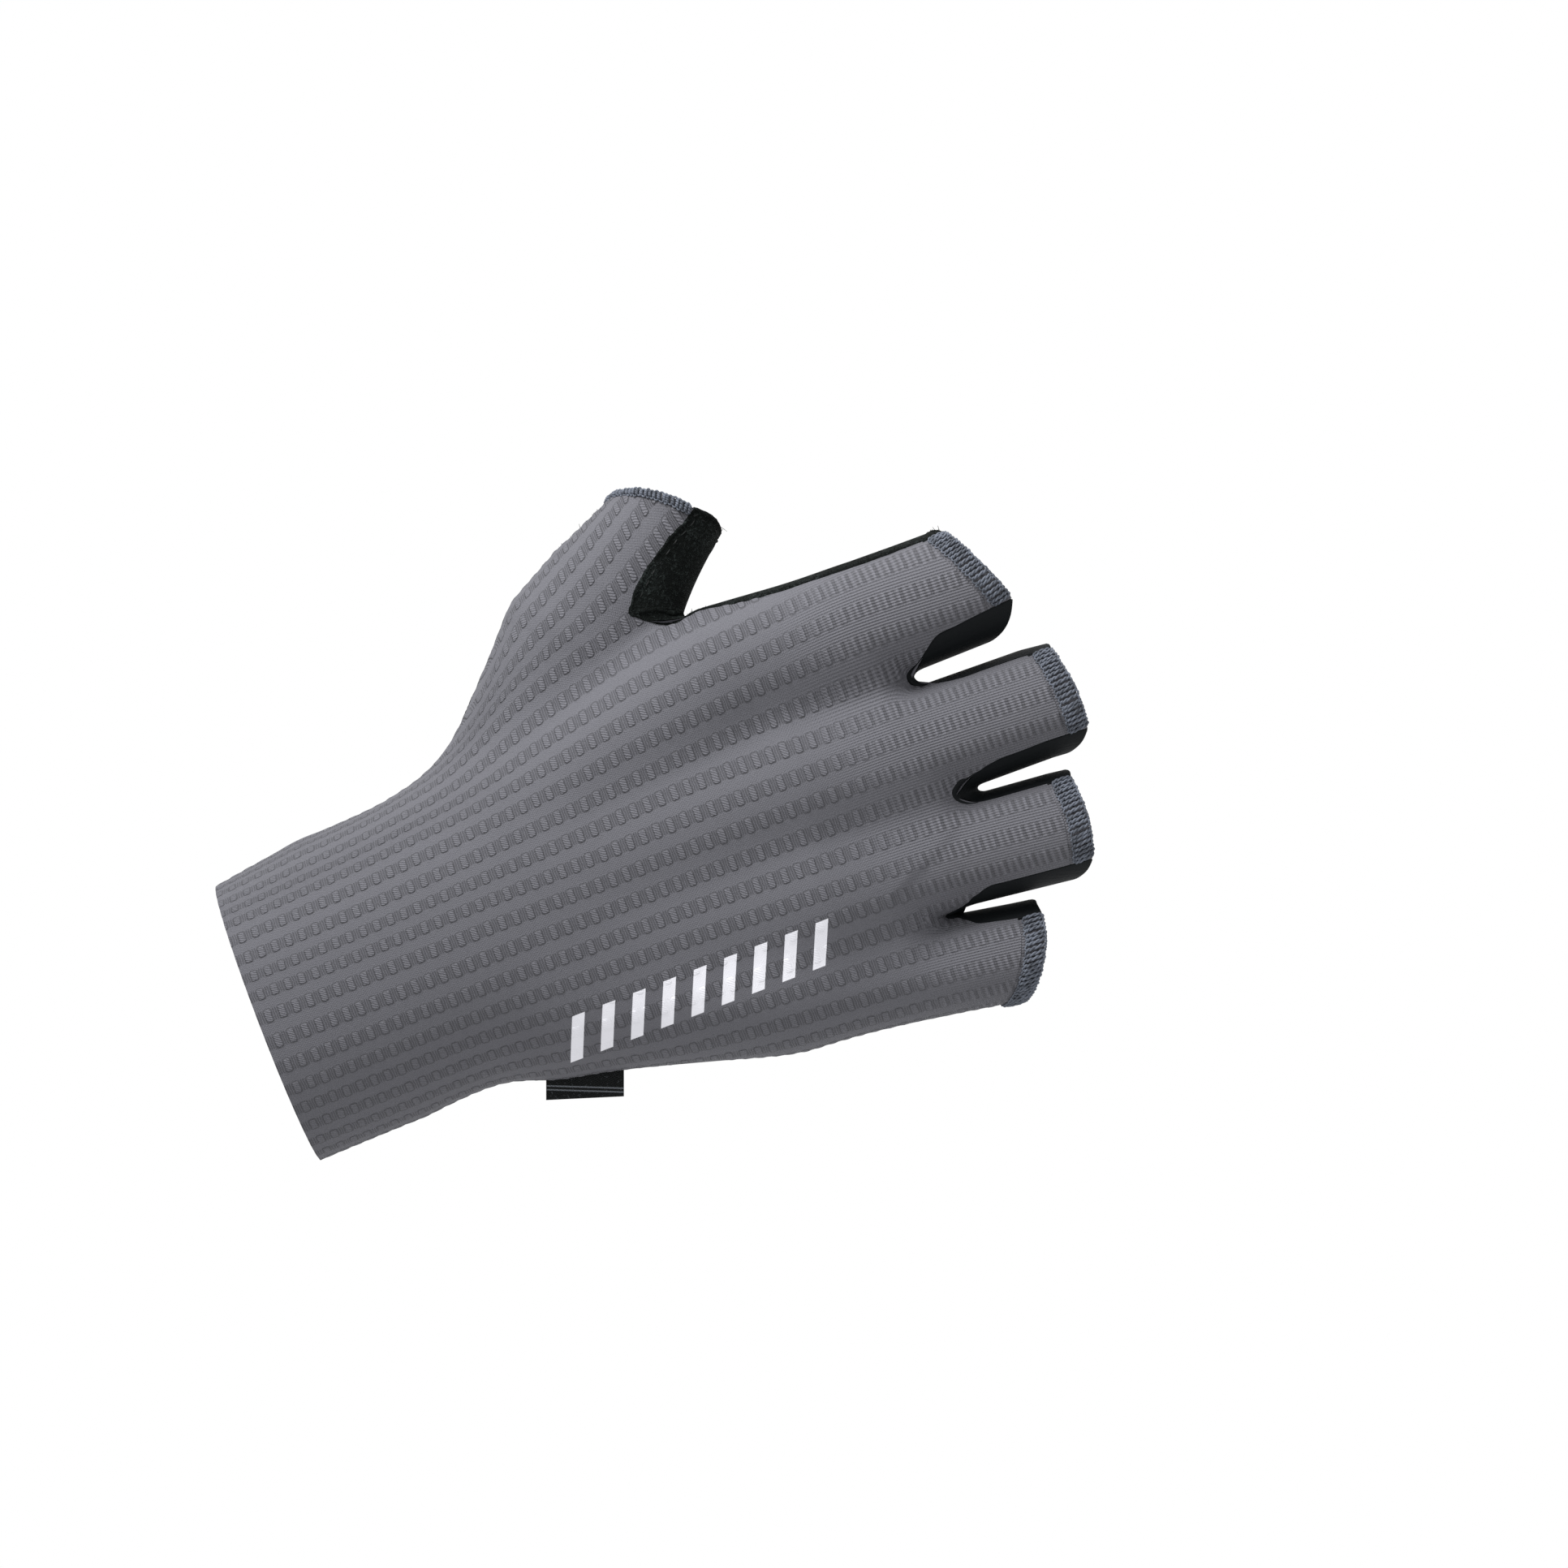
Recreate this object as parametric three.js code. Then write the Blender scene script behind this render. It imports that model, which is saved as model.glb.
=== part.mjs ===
// A slip-on cycling mitt for the right hand, in the shape it has on the hand: a grey knitted back
// that is one tube at the wrist, a black suede palm, a black suede thumb, three black stretch strips
// between the fingers, an overlocked hem at each finger and a small woven side label.
//
// Frame: the origin is the centre of the cuff's opening. X runs along the hand to the fingers,
// Z to the thumb's side, and the back of the hand faces -Y.
import * as THREE from "three";

// Overall sizes of the worn mitt, mm
const HAND_LENGTH = 160; // cuff edge to the end of the index finger
const HAND_BREADTH = 87; // across the four knuckles
const HAND_DEPTH = 30; // back to palm at the knuckles
const CUFF_RADIUS = 28; // half the cuff's width
const CUFF_FLATNESS = 0.7; // cuff depth over cuff width

// Outer radius of each finger's tube, of the thumb's tube and of the heel of the palm, mm
const THUMB_RADIUS = 11.2;
const INDEX_RADIUS = 12;
const MIDDLE_RADIUS = 10.9;
const RING_RADIUS = 10.5;
const LITTLE_RADIUS = 9.7;
const HEEL_RADIUS = 10;

// Blending of the tubes into one hand, mm
const PALM_BLEND = 4.5; // softness of the joins across the palm
const FINGER_BLEND = 0.35; // softness of the joins between the fingers
const WEB_RUN = 9; // length over which the palm parts into fingers
const WEB_SLANT = 0.3; // how much later the palm's side parts, per mm of depth

// Cloth, seams and trim, mm
const CLOTH = 1.2; // thickness of the knitted back, the suede and the strips
const SEAM_GAP = 0.3; // clearance between two pieces at a seam
const HEM_WIDTH = 4.4;
const HEM_PROUD = 0.35; // how far the hem's thread stands off the cloth, outside and inside
const LABEL_LENGTH = 14.7;
const LABEL_DROP = { near: 4.2, far: 5.5 }; // how far its straight edge stands off the seam at each end
const LABEL_LEAN = 21; // angle by which it leans towards the cuff, degrees
const LABEL_THICKNESS = 0.8;

// Places along the hand, mm from the cuff's edge
const PALM_START = 42; // where the suede palm begins
const CROTCH_AT = 93.2; // corner between thumb and index finger
const LITTLE_WEB_AT = 130; // slit between ring and little finger
const FINGER_WEB_AT = 139; // the two other slits
const LABEL_AT = 47;

// Places of the seams around a finger, degrees from the middle of its back, + to the thumb's side
const ULNAR_SEAM = -97;
const THUMB_SEAM = 100;
const PALM_SEAM = 130;

// Where the palm has parted into fingers, mm after each slit's corner, and between which heights, in
// percent of HAND_BREADTH, one slit's parting passes into the next one's.
const PARTINGS = [
  { web: LITTLE_WEB_AT, after: 1.5 },
  { web: FINGER_WEB_AT, after: 8, from: -25, to: -13 },
  { web: FINGER_WEB_AT, after: 5.5, from: 0, to: 12 },
];

const DEGREES = Math.PI / 180;
const MARCH = 1; // step of a ray that looks for the surface, mm
const FAR = 90; // length of such a ray, mm
const PROBE = 0.01; // spacing of the points that give a slope, mm
const RAYS = 24; // rays in half a fan
const SETTLE_STEPS = 16; // steps in which a point settles on the surface
const HALVINGS = 30; // halvings of the last step of a ray
const DEEPEST = 30; // depth below a tube's surface, in units of the blend, past which it is all one
const FARTHEST = 60; // height above it past which the tube no longer counts

// The tubes that the hand's form is blended from. Each row is a place on the tube's centre line:
// x in percent of HAND_LENGTH, y of HAND_DEPTH, z of HAND_BREADTH and r of the tube's radius.
const TUBES = {
  forearm: {
    radius: CUFF_RADIUS,
    flatness: CUFF_FLATNESS,
    rows: [
      { x: -18.8, y: 0, z: -0.6, r: 98.5 },
      { x: 0, y: 0, z: 0.3, r: 100.3 },
      { x: 12.5, y: 0, z: 2.3, r: 104.5 },
      { x: 23.8, y: -1.7, z: 3.4, r: 100.7 },
      { x: 36.3, y: -3.3, z: 4.6, r: 73 },
      { x: 52.5, y: -6.7, z: 4.6, r: 43 },
    ],
  },
  heel: {
    radius: HEEL_RADIUS,
    flatness: 1,
    rows: [
      { x: 33.8, y: 13.3, z: -18.4, r: 100 },
      { x: 57.5, y: 10, z: -31, r: 95 },
    ],
  },
  little: {
    radius: LITTLE_RADIUS,
    flatness: 1,
    rows: [
      { x: 35, y: -3.3, z: -20.7, r: 103 },
      { x: 61.3, y: -5, z: -35, r: 106 },
      { x: 75, y: -3.3, z: -40.2, r: 97 },
      { x: 87.5, y: -3.3, z: -44.3, r: 97 },
      { x: 105, y: -3.3, z: -48.9, r: 91 },
    ],
  },
  ring: {
    radius: RING_RADIUS,
    flatness: 1,
    rows: [
      { x: 37.5, y: -10, z: -9.2, r: 86 },
      { x: 67.5, y: -13.3, z: -16.4, r: 117 },
      { x: 85, y: -10, z: -19.2, r: 97 },
      { x: 97.5, y: -10, z: -21.7, r: 100 },
      { x: 113.8, y: -10, z: -25.3, r: 95 },
    ],
  },
  middle: {
    radius: MIDDLE_RADIUS,
    flatness: 1,
    rows: [
      { x: 37.5, y: -13.3, z: 6.9, r: 83 },
      { x: 70, y: -16.7, z: 7.8, r: 117 },
      { x: 87.5, y: -13.3, z: 6, r: 100 },
      { x: 100, y: -11.7, z: 5.5, r: 99 },
      { x: 118.8, y: -10, z: 2.1, r: 94 },
    ],
  },
  index: {
    radius: INDEX_RADIUS,
    flatness: 1,
    rows: [
      { x: 37.5, y: -10, z: 23, r: 75 },
      { x: 67.5, y: -13.3, z: 36, r: 107.5 },
      { x: 85, y: -10, z: 35.6, r: 101 },
      { x: 97.5, y: -10, z: 35.6, r: 99 },
      { x: 113.8, y: -10, z: 34, r: 90 },
    ],
  },
  thumb: {
    radius: THUMB_RADIUS,
    flatness: 0.94,
    rows: [
      { x: 21.3, y: 6.7, z: 10.3, r: 80 },
      { x: 37.5, y: 16.7, z: 35, r: 94 },
      { x: 50.6, y: 26.7, z: 55.5, r: 125 },
      { x: 56.3, y: 28.3, z: 62, r: 119 },
      { x: 66.3, y: 26.7, z: 73.3, r: 95 },
      { x: 77.5, y: 23.3, z: 92.5, r: 86 },
    ],
  },
};

// The four fingers' sectors of the hand, from the little finger's side. core is where the sector's
// core line starts at the cuff, in percent of HAND_BREADTH; steps is its cells across the back; the
// ends are where the finger's cloth stops on the side of the little finger, on the back, on the
// thumb's side and in the palm, in percent of HAND_LENGTH.
const FINGERS = [
  { name: "little", core: -22, steps: 5, low: 85.4, back: 90.6, high: 91.5, palm: 86.5 },
  { name: "ring", core: -11, steps: 4, low: 99.5, back: 100.6, high: 100.5, palm: 94.5 },
  { name: "middle", core: 1, steps: 4, low: 104.5, back: 104.8, high: 103.8, palm: 99.5 },
  { name: "index", core: 13, steps: 5, low: 101.6, back: 100.3, high: 96.9, palm: 94.5 },
];
const THUMB = { core: 12, steps: 6 };

// The three slits. cuff is where the line that leads to the slit starts at the cuff, in percent of
// HAND_BREADTH, and nose is how far the web reaches past its corner on the back, in percent of
// HAND_LENGTH. low and high are the strip's legs, on the lower and on the upper finger: near and far
// are the seam's places at the web and at the finger's end, in degrees from the middle of the finger's
// back, and side is where the leg ends at the finger's side, in percent of HAND_LENGTH.
const SLITS = [
  {
    name: "fourchette_ring_little",
    opensAt: LITTLE_WEB_AT,
    cuff: -17,
    nose: 3.2,
    low: { near: 51, far: 43, side: 91.3 },
    high: { near: -48, far: -45, side: 96.6 },
  },
  {
    name: "fourchette_middle_ring",
    opensAt: FINGER_WEB_AT,
    cuff: -5,
    nose: 3.3,
    low: { near: 56, far: 57, side: 100.9 },
    high: { near: -46, far: -42, side: 101.2 },
  },
  {
    name: "fourchette_index_middle",
    opensAt: FINGER_WEB_AT,
    cuff: 7,
    nose: 1.6,
    low: { near: 63, far: 61, side: 104 },
    high: { near: -42, far: -28, side: 97.4 },
  },
];
const STRIP_STEPS = 5; // cells across a strip, back seam to palm seam
const SEAM_EASE = 0.3; // share of a finger over which its seam leaves the web's corner
const WEB_INSIDE = 6.4; // how far inside its corner a web's fan starts, mm

// The seam of the suede along the index finger: height above the finger's centre line, in percent of
// the finger's radius, at a place along the hand in percent of HAND_LENGTH.
const INDEX_SEAM = [
  { x: 60.2, out: 139 },
  { x: 65, out: 107 },
  { x: 70, out: 95 },
  { x: 80, out: 88 },
  { x: 90, out: 86 },
  { x: 97, out: 87 },
];
const INDEX_SEAM_HEIGHT = 0.42; // how far to the back the seam lies, in radii of the finger
const INDEX_SEAM_EASE = 6; // how fast the seam's rows catch up with the back's rows
const PALM_LINE_EASE = 0.5; // share of the finger over which its palm line leaves the corner
// The edge of the thumb's suede on the back of the thumb, from the corner (0) to the hem (1), in
// degrees from the middle of the thumb's back.
const THUMB_EDGE = [
  { at: 0, angle: -26 },
  { at: 0.15, angle: -20 },
  { at: 0.4, angle: -16 },
  { at: 0.75, angle: -17 },
  { at: 1, angle: -26 },
];
// The thumb's rows, from the corner to the hem: the centre line's place and the outer seam's place in
// percent of HAND_LENGTH, and how far the row's ends lead its centre, in percent of THUMB_RADIUS.
const THUMB_ROWS = {
  core: [54.4, 66.2],
  outer: [50.5, 60.7],
  edgeLead: [33, 41],
  backLead: [10, 36],
  palmLead: [20, -20],
};
// The lines of the thumb's back, palm side and inner side, in degrees from the middle of its back
const THUMB_LINES = { back: 25, palm: 170, inner: -135 };
const LOOK_AHEAD = 3.2; // run of the thumb's centre line that gives its direction, mm

// The web between thumb and index finger: its nose, the corner of the suede in the palm and the end of
// the thumb's inner side, in percent of HAND_LENGTH, HAND_DEPTH and HAND_BREADTH.
const CROTCH = {
  nose: { x: 64.1, y: 5, z: 52.3 },
  palm: { x: 58, z: 47.2 },
  end: { x: 72.2, y: 27, z: 66 },
};
// Lines from the cuff to that web, on the back and in the palm: where they start, in percent of
// HAND_BREADTH, and the share of the way at which the palm's line begins to bend out.
const CROTCH_LINES = { cuff: 17, palmBend: 0.25 };

// Rows of cells along the hand
const ROWS = { cuff: 5, palm: 7, knuckles: 6, webs: 3, fingers: 5, hem: 1 };
const PALM_ROW = ROWS.cuff;
const CROTCH_ROW = PALM_ROW + ROWS.palm;
const LITTLE_WEB_ROW = CROTCH_ROW + ROWS.knuckles;
const FINGER_WEB_ROW = LITTLE_WEB_ROW + ROWS.webs;
const HEM_ROW = FINGER_WEB_ROW + ROWS.fingers;
const END_ROW = HEM_ROW + ROWS.hem;
// Rows over which the index finger's side and the thumb's side grow out of the web between them
const INDEX_WEB_ROWS = 4;
const THUMB_WEB_ROWS = 6;

const { lerp, clamp, smoothstep } = THREE.MathUtils;
const vec = (x, y, z) => new THREE.Vector3(x, y, z);
const length = (percent) => (percent / 100) * HAND_LENGTH;
const breadth = (percent) => (percent / 100) * HAND_BREADTH;
const depth = (percent) => (percent / 100) * HAND_DEPTH;

// Value of one column of a table at a place, straight between its rows.
function along(rows, column, place, key = "x") {
  let i = 1;
  while (i < rows.length - 1 && rows[i][key] < place) i += 1;
  const before = rows[i - 1];
  const after = rows[i];
  const t = clamp((place - before[key]) / (after[key] - before[key]), 0, 1);
  return lerp(before[column], after[column], t);
}

const tubeSpheres = Object.fromEntries(
  Object.entries(TUBES).map(([name, tube]) => [
    name,
    tube.rows.map((row) => ({
      x: length(row.x),
      y: depth(row.y),
      z: breadth(row.z),
      r: (row.r / 100) * tube.radius,
    })),
  ]),
);

// Distance from a point to a tube's surface.
function tubeDistance(p, name) {
  const squash = 1 / TUBES[name].flatness;
  const spheres = tubeSpheres[name];
  let nearest = Infinity;
  for (let i = 1; i < spheres.length; i += 1) {
    const a = spheres[i - 1];
    const b = spheres[i];
    const run = [b.x - a.x, (b.y - a.y) * squash, b.z - a.z];
    const to = [p.x - a.x, (p.y - a.y) * squash, p.z - a.z];
    const dot = to[0] * run[0] + to[1] * run[1] + to[2] * run[2];
    const h = clamp(dot / (run[0] ** 2 + run[1] ** 2 + run[2] ** 2), 0, 1);
    const away = Math.hypot(to[0] - h * run[0], to[1] - h * run[1], to[2] - h * run[2]);
    nearest = Math.min(nearest, away - lerp(a.r, b.r, h));
  }
  return nearest;
}

// Half way between two neighbouring fingers' surfaces.
function betweenFingers(lower, upper, x) {
  const low = tubeAt(lower, x);
  const high = tubeAt(upper, x);
  return (low.z + low.r + high.z - high.r) / 2;
}

function tubeAt(name, x) {
  const rows = tubeSpheres[name];
  return {
    y: along(rows, "y", x),
    z: along(rows, "z", x),
    r: along(rows, "r", x),
  };
}

// Where along the hand the palm has parted into fingers, at a height z.
function partingAt(z) {
  const [little, middle, index] = PARTINGS.map((parting) => parting.web + parting.after);
  const toMiddle = smoothstep(z, breadth(PARTINGS[1].from), breadth(PARTINGS[1].to));
  const toIndex = smoothstep(z, breadth(PARTINGS[2].from), breadth(PARTINGS[2].to));
  return lerp(lerp(little, middle, toMiddle), index, toIndex);
}

// The hand's form: below zero inside the mitt's outer surface, above zero outside.
function form(p) {
  const parting = partingAt(p.z) + WEB_SLANT * p.y;
  const parted = smoothstep(p.x, parting - WEB_RUN, parting);
  const softness = lerp(PALM_BLEND, FINGER_BLEND, parted);
  let sum = 0;
  for (const name of Object.keys(TUBES)) {
    sum += Math.exp(-clamp(tubeDistance(p, name) / softness, -DEEPEST, FARTHEST));
  }
  return -softness * Math.log(sum);
}

function slope(p) {
  const at = (dx, dy, dz) => form(vec(p.x + dx, p.y + dy, p.z + dz));
  return vec(
    at(PROBE, 0, 0) - at(-PROBE, 0, 0),
    at(0, PROBE, 0) - at(0, -PROBE, 0),
    at(0, 0, PROBE) - at(0, 0, -PROBE),
  ).divideScalar(2 * PROBE);
}

// The point of the surface near a point.
function settle(point) {
  const p = point.clone();
  for (let i = 0; i < SETTLE_STEPS; i += 1) {
    const rise = slope(p);
    const off = form(p) / rise.length();
    p.addScaledVector(rise.normalize(), -clamp(off, -MARCH, MARCH));
  }
  return p;
}

// Where a ray from inside the form first leaves it.
function leave(from, direction) {
  const at = (t) => vec(0, 0, 0).copy(from).addScaledVector(direction, t);
  let outside = MARCH;
  while (outside < FAR && form(at(outside)) < 0) outside += MARCH;
  let inside = outside - MARCH;
  for (let i = 0; i < HALVINGS; i += 1) {
    const middle = (inside + outside) / 2;
    if (form(at(middle)) < 0) inside = middle;
    else outside = middle;
  }
  return at(outside);
}

function turned(a, b, t) {
  const angle = a.angleTo(b);
  if (angle < 1e-6) return a.clone();
  return a
    .clone()
    .multiplyScalar(Math.sin((1 - t) * angle))
    .addScaledVector(b, Math.sin(t * angle))
    .normalize();
}

// A row of points on the surface from one point to another, by rays that fan out from a core point
// and pass the direction of a third one, evenly spaced.
function fan(core, first, through, last, steps) {
  const towards = [first, through, last].map((p) => p.clone().sub(core).normalize());
  const path = [first];
  for (let i = 1; i < 2 * RAYS; i += 1) {
    const half = i <= RAYS ? 0 : 1;
    const t = i / RAYS - half;
    path.push(leave(core, turned(towards[half], towards[half + 1], t)));
  }
  path.push(last);
  const run = [0];
  for (let i = 1; i < path.length; i += 1) {
    run.push(run[i - 1] + path[i].distanceTo(path[i - 1]));
  }
  const row = [first];
  for (let s = 1; s < steps; s += 1) {
    const wanted = (s / steps) * run[run.length - 1];
    let i = 1;
    while (run[i] < wanted) i += 1;
    const t = (wanted - run[i - 1]) / (run[i] - run[i - 1]);
    row.push(settle(path[i - 1].clone().lerp(path[i], t)));
  }
  row.push(last);
  return row;
}

// A row of surface points part of the way from one row to another, between two given ends.
function bridge(start, finish, share, first, last) {
  const straight = start.map((p, i) => p.clone().lerp(finish[i], share));
  const end = straight.length - 1;
  const shiftFirst = first.clone().sub(straight[0]);
  const shiftLast = last.clone().sub(straight[end]);
  const inner = straight.slice(1, end).map((p, i) => {
    const t = (i + 1) / end;
    return settle(p.addScaledVector(shiftFirst, 1 - t).addScaledVector(shiftLast, t));
  });
  return [first, ...inner, last];
}

// A direction around a tube that runs along X: 0 is the back, 90 the thumb's side.
function around(degrees) {
  return vec(0, -Math.cos(degrees * DEGREES), Math.sin(degrees * DEGREES));
}

// Place along the hand of each row of cells, as far as the webs.
function rowX(row) {
  const marks = [
    { x: 0, at: 0 },
    { x: PALM_ROW, at: PALM_START },
    { x: CROTCH_ROW, at: CROTCH_AT },
    { x: LITTLE_WEB_ROW, at: LITTLE_WEB_AT },
    { x: FINGER_WEB_ROW, at: FINGER_WEB_AT },
  ];
  return along(marks, "at", row);
}

// Core line of a sector, from which its fans start.
function coreAt(name, cuffCore, x) {
  const first = tubeSpheres[name][0];
  if (x >= first.x) return tubeAt(name, x);
  const t = x / first.x;
  return { y: lerp(0, first.y, t), z: lerp(breadth(cuffCore), first.z, t), r: first.r };
}
function corePoint(name, cuffCore, x) {
  const core = coreAt(name, cuffCore, x);
  return vec(x, core.y, core.z);
}

// Place along the hand of one of a finger's rows at one of its ends' sides.
function fingerX(index, row, side) {
  const opens = index === 0 ? LITTLE_WEB_ROW : FINGER_WEB_ROW;
  if (row <= opens) return rowX(row);
  const end = length(FINGERS[index][side]);
  if (row <= HEM_ROW) {
    return lerp(rowX(opens), end - HEM_WIDTH, (row - opens) / (HEM_ROW - opens));
  }
  return lerp(end - HEM_WIDTH, end, (row - HEM_ROW) / ROWS.hem);
}

// Slits and the lines that lead to them: line i parts finger i from finger i + 1.
function slitLine(i, x) {
  const slit = SLITS[i];
  const web = betweenFingers(FINGERS[i].name, FINGERS[i + 1].name, Math.max(x, slit.opensAt));
  return lerp(breadth(slit.cuff), web, smoothstep(x, 0, slit.opensAt));
}
function surfaceFrom(x, z, side) {
  return leave(vec(x, 0, z), vec(0, side, 0));
}
const slitRow = (i) => (i === 0 ? LITTLE_WEB_ROW : FINGER_WEB_ROW);

// A finger's seam with the strip of a slit, on the back or in the palm.
function seamPoint(i, finger, row, palm) {
  const opens = slitRow(i);
  const slit = SLITS[i];
  if (row <= opens) return surfaceFrom(rowX(row), slitLine(i, rowX(row)), palm ? 1 : -1);
  const sideName = finger === i ? "high" : "low";
  const towards = finger === i ? 1 : -1;
  const end = length(FINGERS[finger][sideName]);
  const start = rowX(opens);
  const backX = fingerX(finger, row, sideName);
  const share = (backX - start) / (end - start);
  const x = palm ? lerp(start, length(FINGERS[finger].palm), share) : backX;
  const name = FINGERS[finger].name;
  const core = corePoint(name, 0, x);
  const corner = seamPoint(i, finger, opens, palm);
  const cornerAngle = Math.atan2(corner.z - core.z, core.y - corner.y) / DEGREES;
  const leg = finger === i ? slit.low : slit.high;
  const seam = palm ? towards * PALM_SEAM : lerp(leg.near, leg.far, share);
  const angle = lerp(cornerAngle, seam, smoothstep(share, 0, SEAM_EASE));
  return leave(core, around(angle));
}

// The outer seams: along the little finger's side, and along the index finger or the thumb.
function ulnarPoint(row) {
  const x = fingerX(0, row, "low");
  return leave(corePoint("little", FINGERS[0].core, x), around(ULNAR_SEAM));
}
function thumbAt(row) {
  if (row <= CROTCH_ROW) return 0;
  return (row - CROTCH_ROW) / (END_ROW - CROTCH_ROW);
}
function thumbCoreX(row) {
  const [first, last] = THUMB_ROWS.core.map(length);
  if (row > CROTCH_ROW) return lerp(first, last, thumbAt(row));
  const x = rowX(row);
  return x - (CROTCH_AT - first) * smoothstep(x, PALM_START, CROTCH_AT);
}
function outerPoint(row) {
  const [first, last] = THUMB_ROWS.outer.map(length);
  let x = lerp(first, last, thumbAt(row));
  if (row <= CROTCH_ROW) {
    x = rowX(row) - (CROTCH_AT - first) * smoothstep(rowX(row), PALM_START, CROTCH_AT);
  }
  return leave(corePoint("thumb", THUMB.core, x), around(THUMB_SEAM));
}

// A point beside the thumb's centre line, in the thumb's own directions.
function besideThumb(row, degrees, lead) {
  const x = thumbCoreX(row);
  const core = corePoint("thumb", THUMB.core, x);
  const ahead = corePoint("thumb", THUMB.core, x + LOOK_AHEAD).sub(core);
  ahead.y = 0;
  const bent = row > CROTCH_ROW ? 1 : smoothstep(rowX(row), PALM_START, CROTCH_AT);
  ahead.normalize().lerp(vec(1, 0, 0), 1 - bent).normalize();
  const out = vec(-ahead.z, 0, ahead.x);
  const radius = coreAt("thumb", THUMB.core, x).r;
  return core
    .addScaledVector(vec(0, -1, 0), radius * Math.cos(degrees * DEGREES))
    .addScaledVector(out, radius * Math.sin(degrees * DEGREES))
    .addScaledVector(ahead, (lead / 100) * THUMB_RADIUS);
}
function thumbLead(name, row) {
  const [first, last] = THUMB_ROWS[name];
  if (row > CROTCH_ROW) return lerp(first, last, thumbAt(row));
  return first * smoothstep(rowX(row), PALM_START, CROTCH_AT);
}

function thumbEdgePoint(row) {
  const angle = along(THUMB_EDGE, "angle", thumbAt(row), "at");
  return settle(besideThumb(row, angle, thumbLead("edgeLead", row)));
}
const crotchCorner = thumbEdgePoint(CROTCH_ROW);

// The line on the back from the cuff to the corner between thumb and index finger.
function crotchLine(row) {
  if (row === CROTCH_ROW) return crotchCorner;
  const t = rowX(row) / CROTCH_AT;
  const x = t * crotchCorner.x;
  return surfaceFrom(x, lerp(breadth(CROTCH_LINES.cuff), crotchCorner.z, smoothstep(t, 0, 1)), -1);
}
const crotchPalm = surfaceFrom(length(CROTCH.palm.x), breadth(CROTCH.palm.z), 1);
function crotchPalmLine(row) {
  if (row === CROTCH_ROW) return crotchPalm;
  const t = rowX(row) / CROTCH_AT;
  const x = t * crotchPalm.x;
  const bend = smoothstep(t, CROTCH_LINES.palmBend, 1);
  return surfaceFrom(x, lerp(breadth(CROTCH_LINES.cuff), crotchPalm.z, bend), 1);
}

// The suede's seam along the index finger, and the line where the finger's side meets its palm.
function indexSeamPoint(row) {
  if (row <= CROTCH_ROW) return crotchLine(row);
  const start = crotchCorner.x;
  const share = (row - CROTCH_ROW) / (END_ROW - CROTCH_ROW);
  let x = fingerX(3, row, "high");
  if (row <= FINGER_WEB_ROW) x = lerp(start, rowX(row), Math.min(share * INDEX_SEAM_EASE, 1));
  const tube = tubeAt("index", x);
  const out = (along(INDEX_SEAM, "out", (x / HAND_LENGTH) * 100) / 100) * tube.r;
  return settle(vec(x, tube.y - tube.r * INDEX_SEAM_HEIGHT, tube.z + out));
}
function indexPalmPoint(row) {
  if (row <= CROTCH_ROW) return crotchPalmLine(row);
  const start = crotchPalm.x;
  const share = (row - CROTCH_ROW) / (END_ROW - CROTCH_ROW);
  const x = lerp(start, length(FINGERS[3].palm), share);
  const core = corePoint("index", 0, x);
  const cornerAngle = Math.atan2(crotchPalm.z - core.z, core.y - crotchPalm.y) / DEGREES;
  return leave(core, around(lerp(cornerAngle, PALM_SEAM, smoothstep(share, 0, PALM_LINE_EASE))));
}

// Rows of one sector of the back or the palm, and of the thumb.
function fingerRows(index, firstRow, lastRow, palm) {
  const { name, core, steps } = FINGERS[index];
  const rows = [];
  for (let row = firstRow; row <= lastRow; row += 1) {
    let low = ulnarPoint(row);
    if (index > 0) low = seamPoint(index - 1, index, row, palm);
    let high = palm ? indexPalmPoint(row) : indexSeamPoint(row);
    if (index < 3) high = seamPoint(index, index, row, palm);
    let x = fingerX(index, row, "back");
    if (palm) x = lerp(low.x, high.x, 0.5);
    const from = corePoint(name, core, (low.x + high.x) / 2);
    const through = vec(x, from.y + (palm ? 1 : -1) * TUBES[name].radius, from.z);
    rows.push(fan(from, low, through, high, steps));
  }
  return rows;
}
function thumbBackRows(firstRow, lastRow) {
  const rows = [];
  for (let row = firstRow; row <= lastRow; row += 1) {
    const edge = row <= CROTCH_ROW ? crotchLine(row) : thumbEdgePoint(row);
    const from = corePoint("thumb", THUMB.core, thumbCoreX(row));
    const through = besideThumb(row, THUMB_LINES.back, thumbLead("backLead", row));
    rows.push(fan(from, edge, through, outerPoint(row), THUMB.steps));
  }
  return rows;
}
function thumbPalmPoint(row) {
  if (row <= CROTCH_ROW) return crotchPalmLine(row);
  const wanted = besideThumb(row, THUMB_LINES.inner, thumbLead("palmLead", row));
  return settle(crotchPalm.clone().lerp(wanted, clamp(2 * thumbAt(row), 0, 1)));
}
function thumbPalmRows(firstRow, lastRow) {
  const rows = [];
  for (let row = firstRow; row <= lastRow; row += 1) {
    const from = corePoint("thumb", THUMB.core, thumbCoreX(row));
    const through = besideThumb(row, THUMB_LINES.palm, thumbLead("palmLead", row));
    rows.push(fan(from, thumbPalmPoint(row), through, outerPoint(row), THUMB.steps));
  }
  return rows;
}

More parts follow.
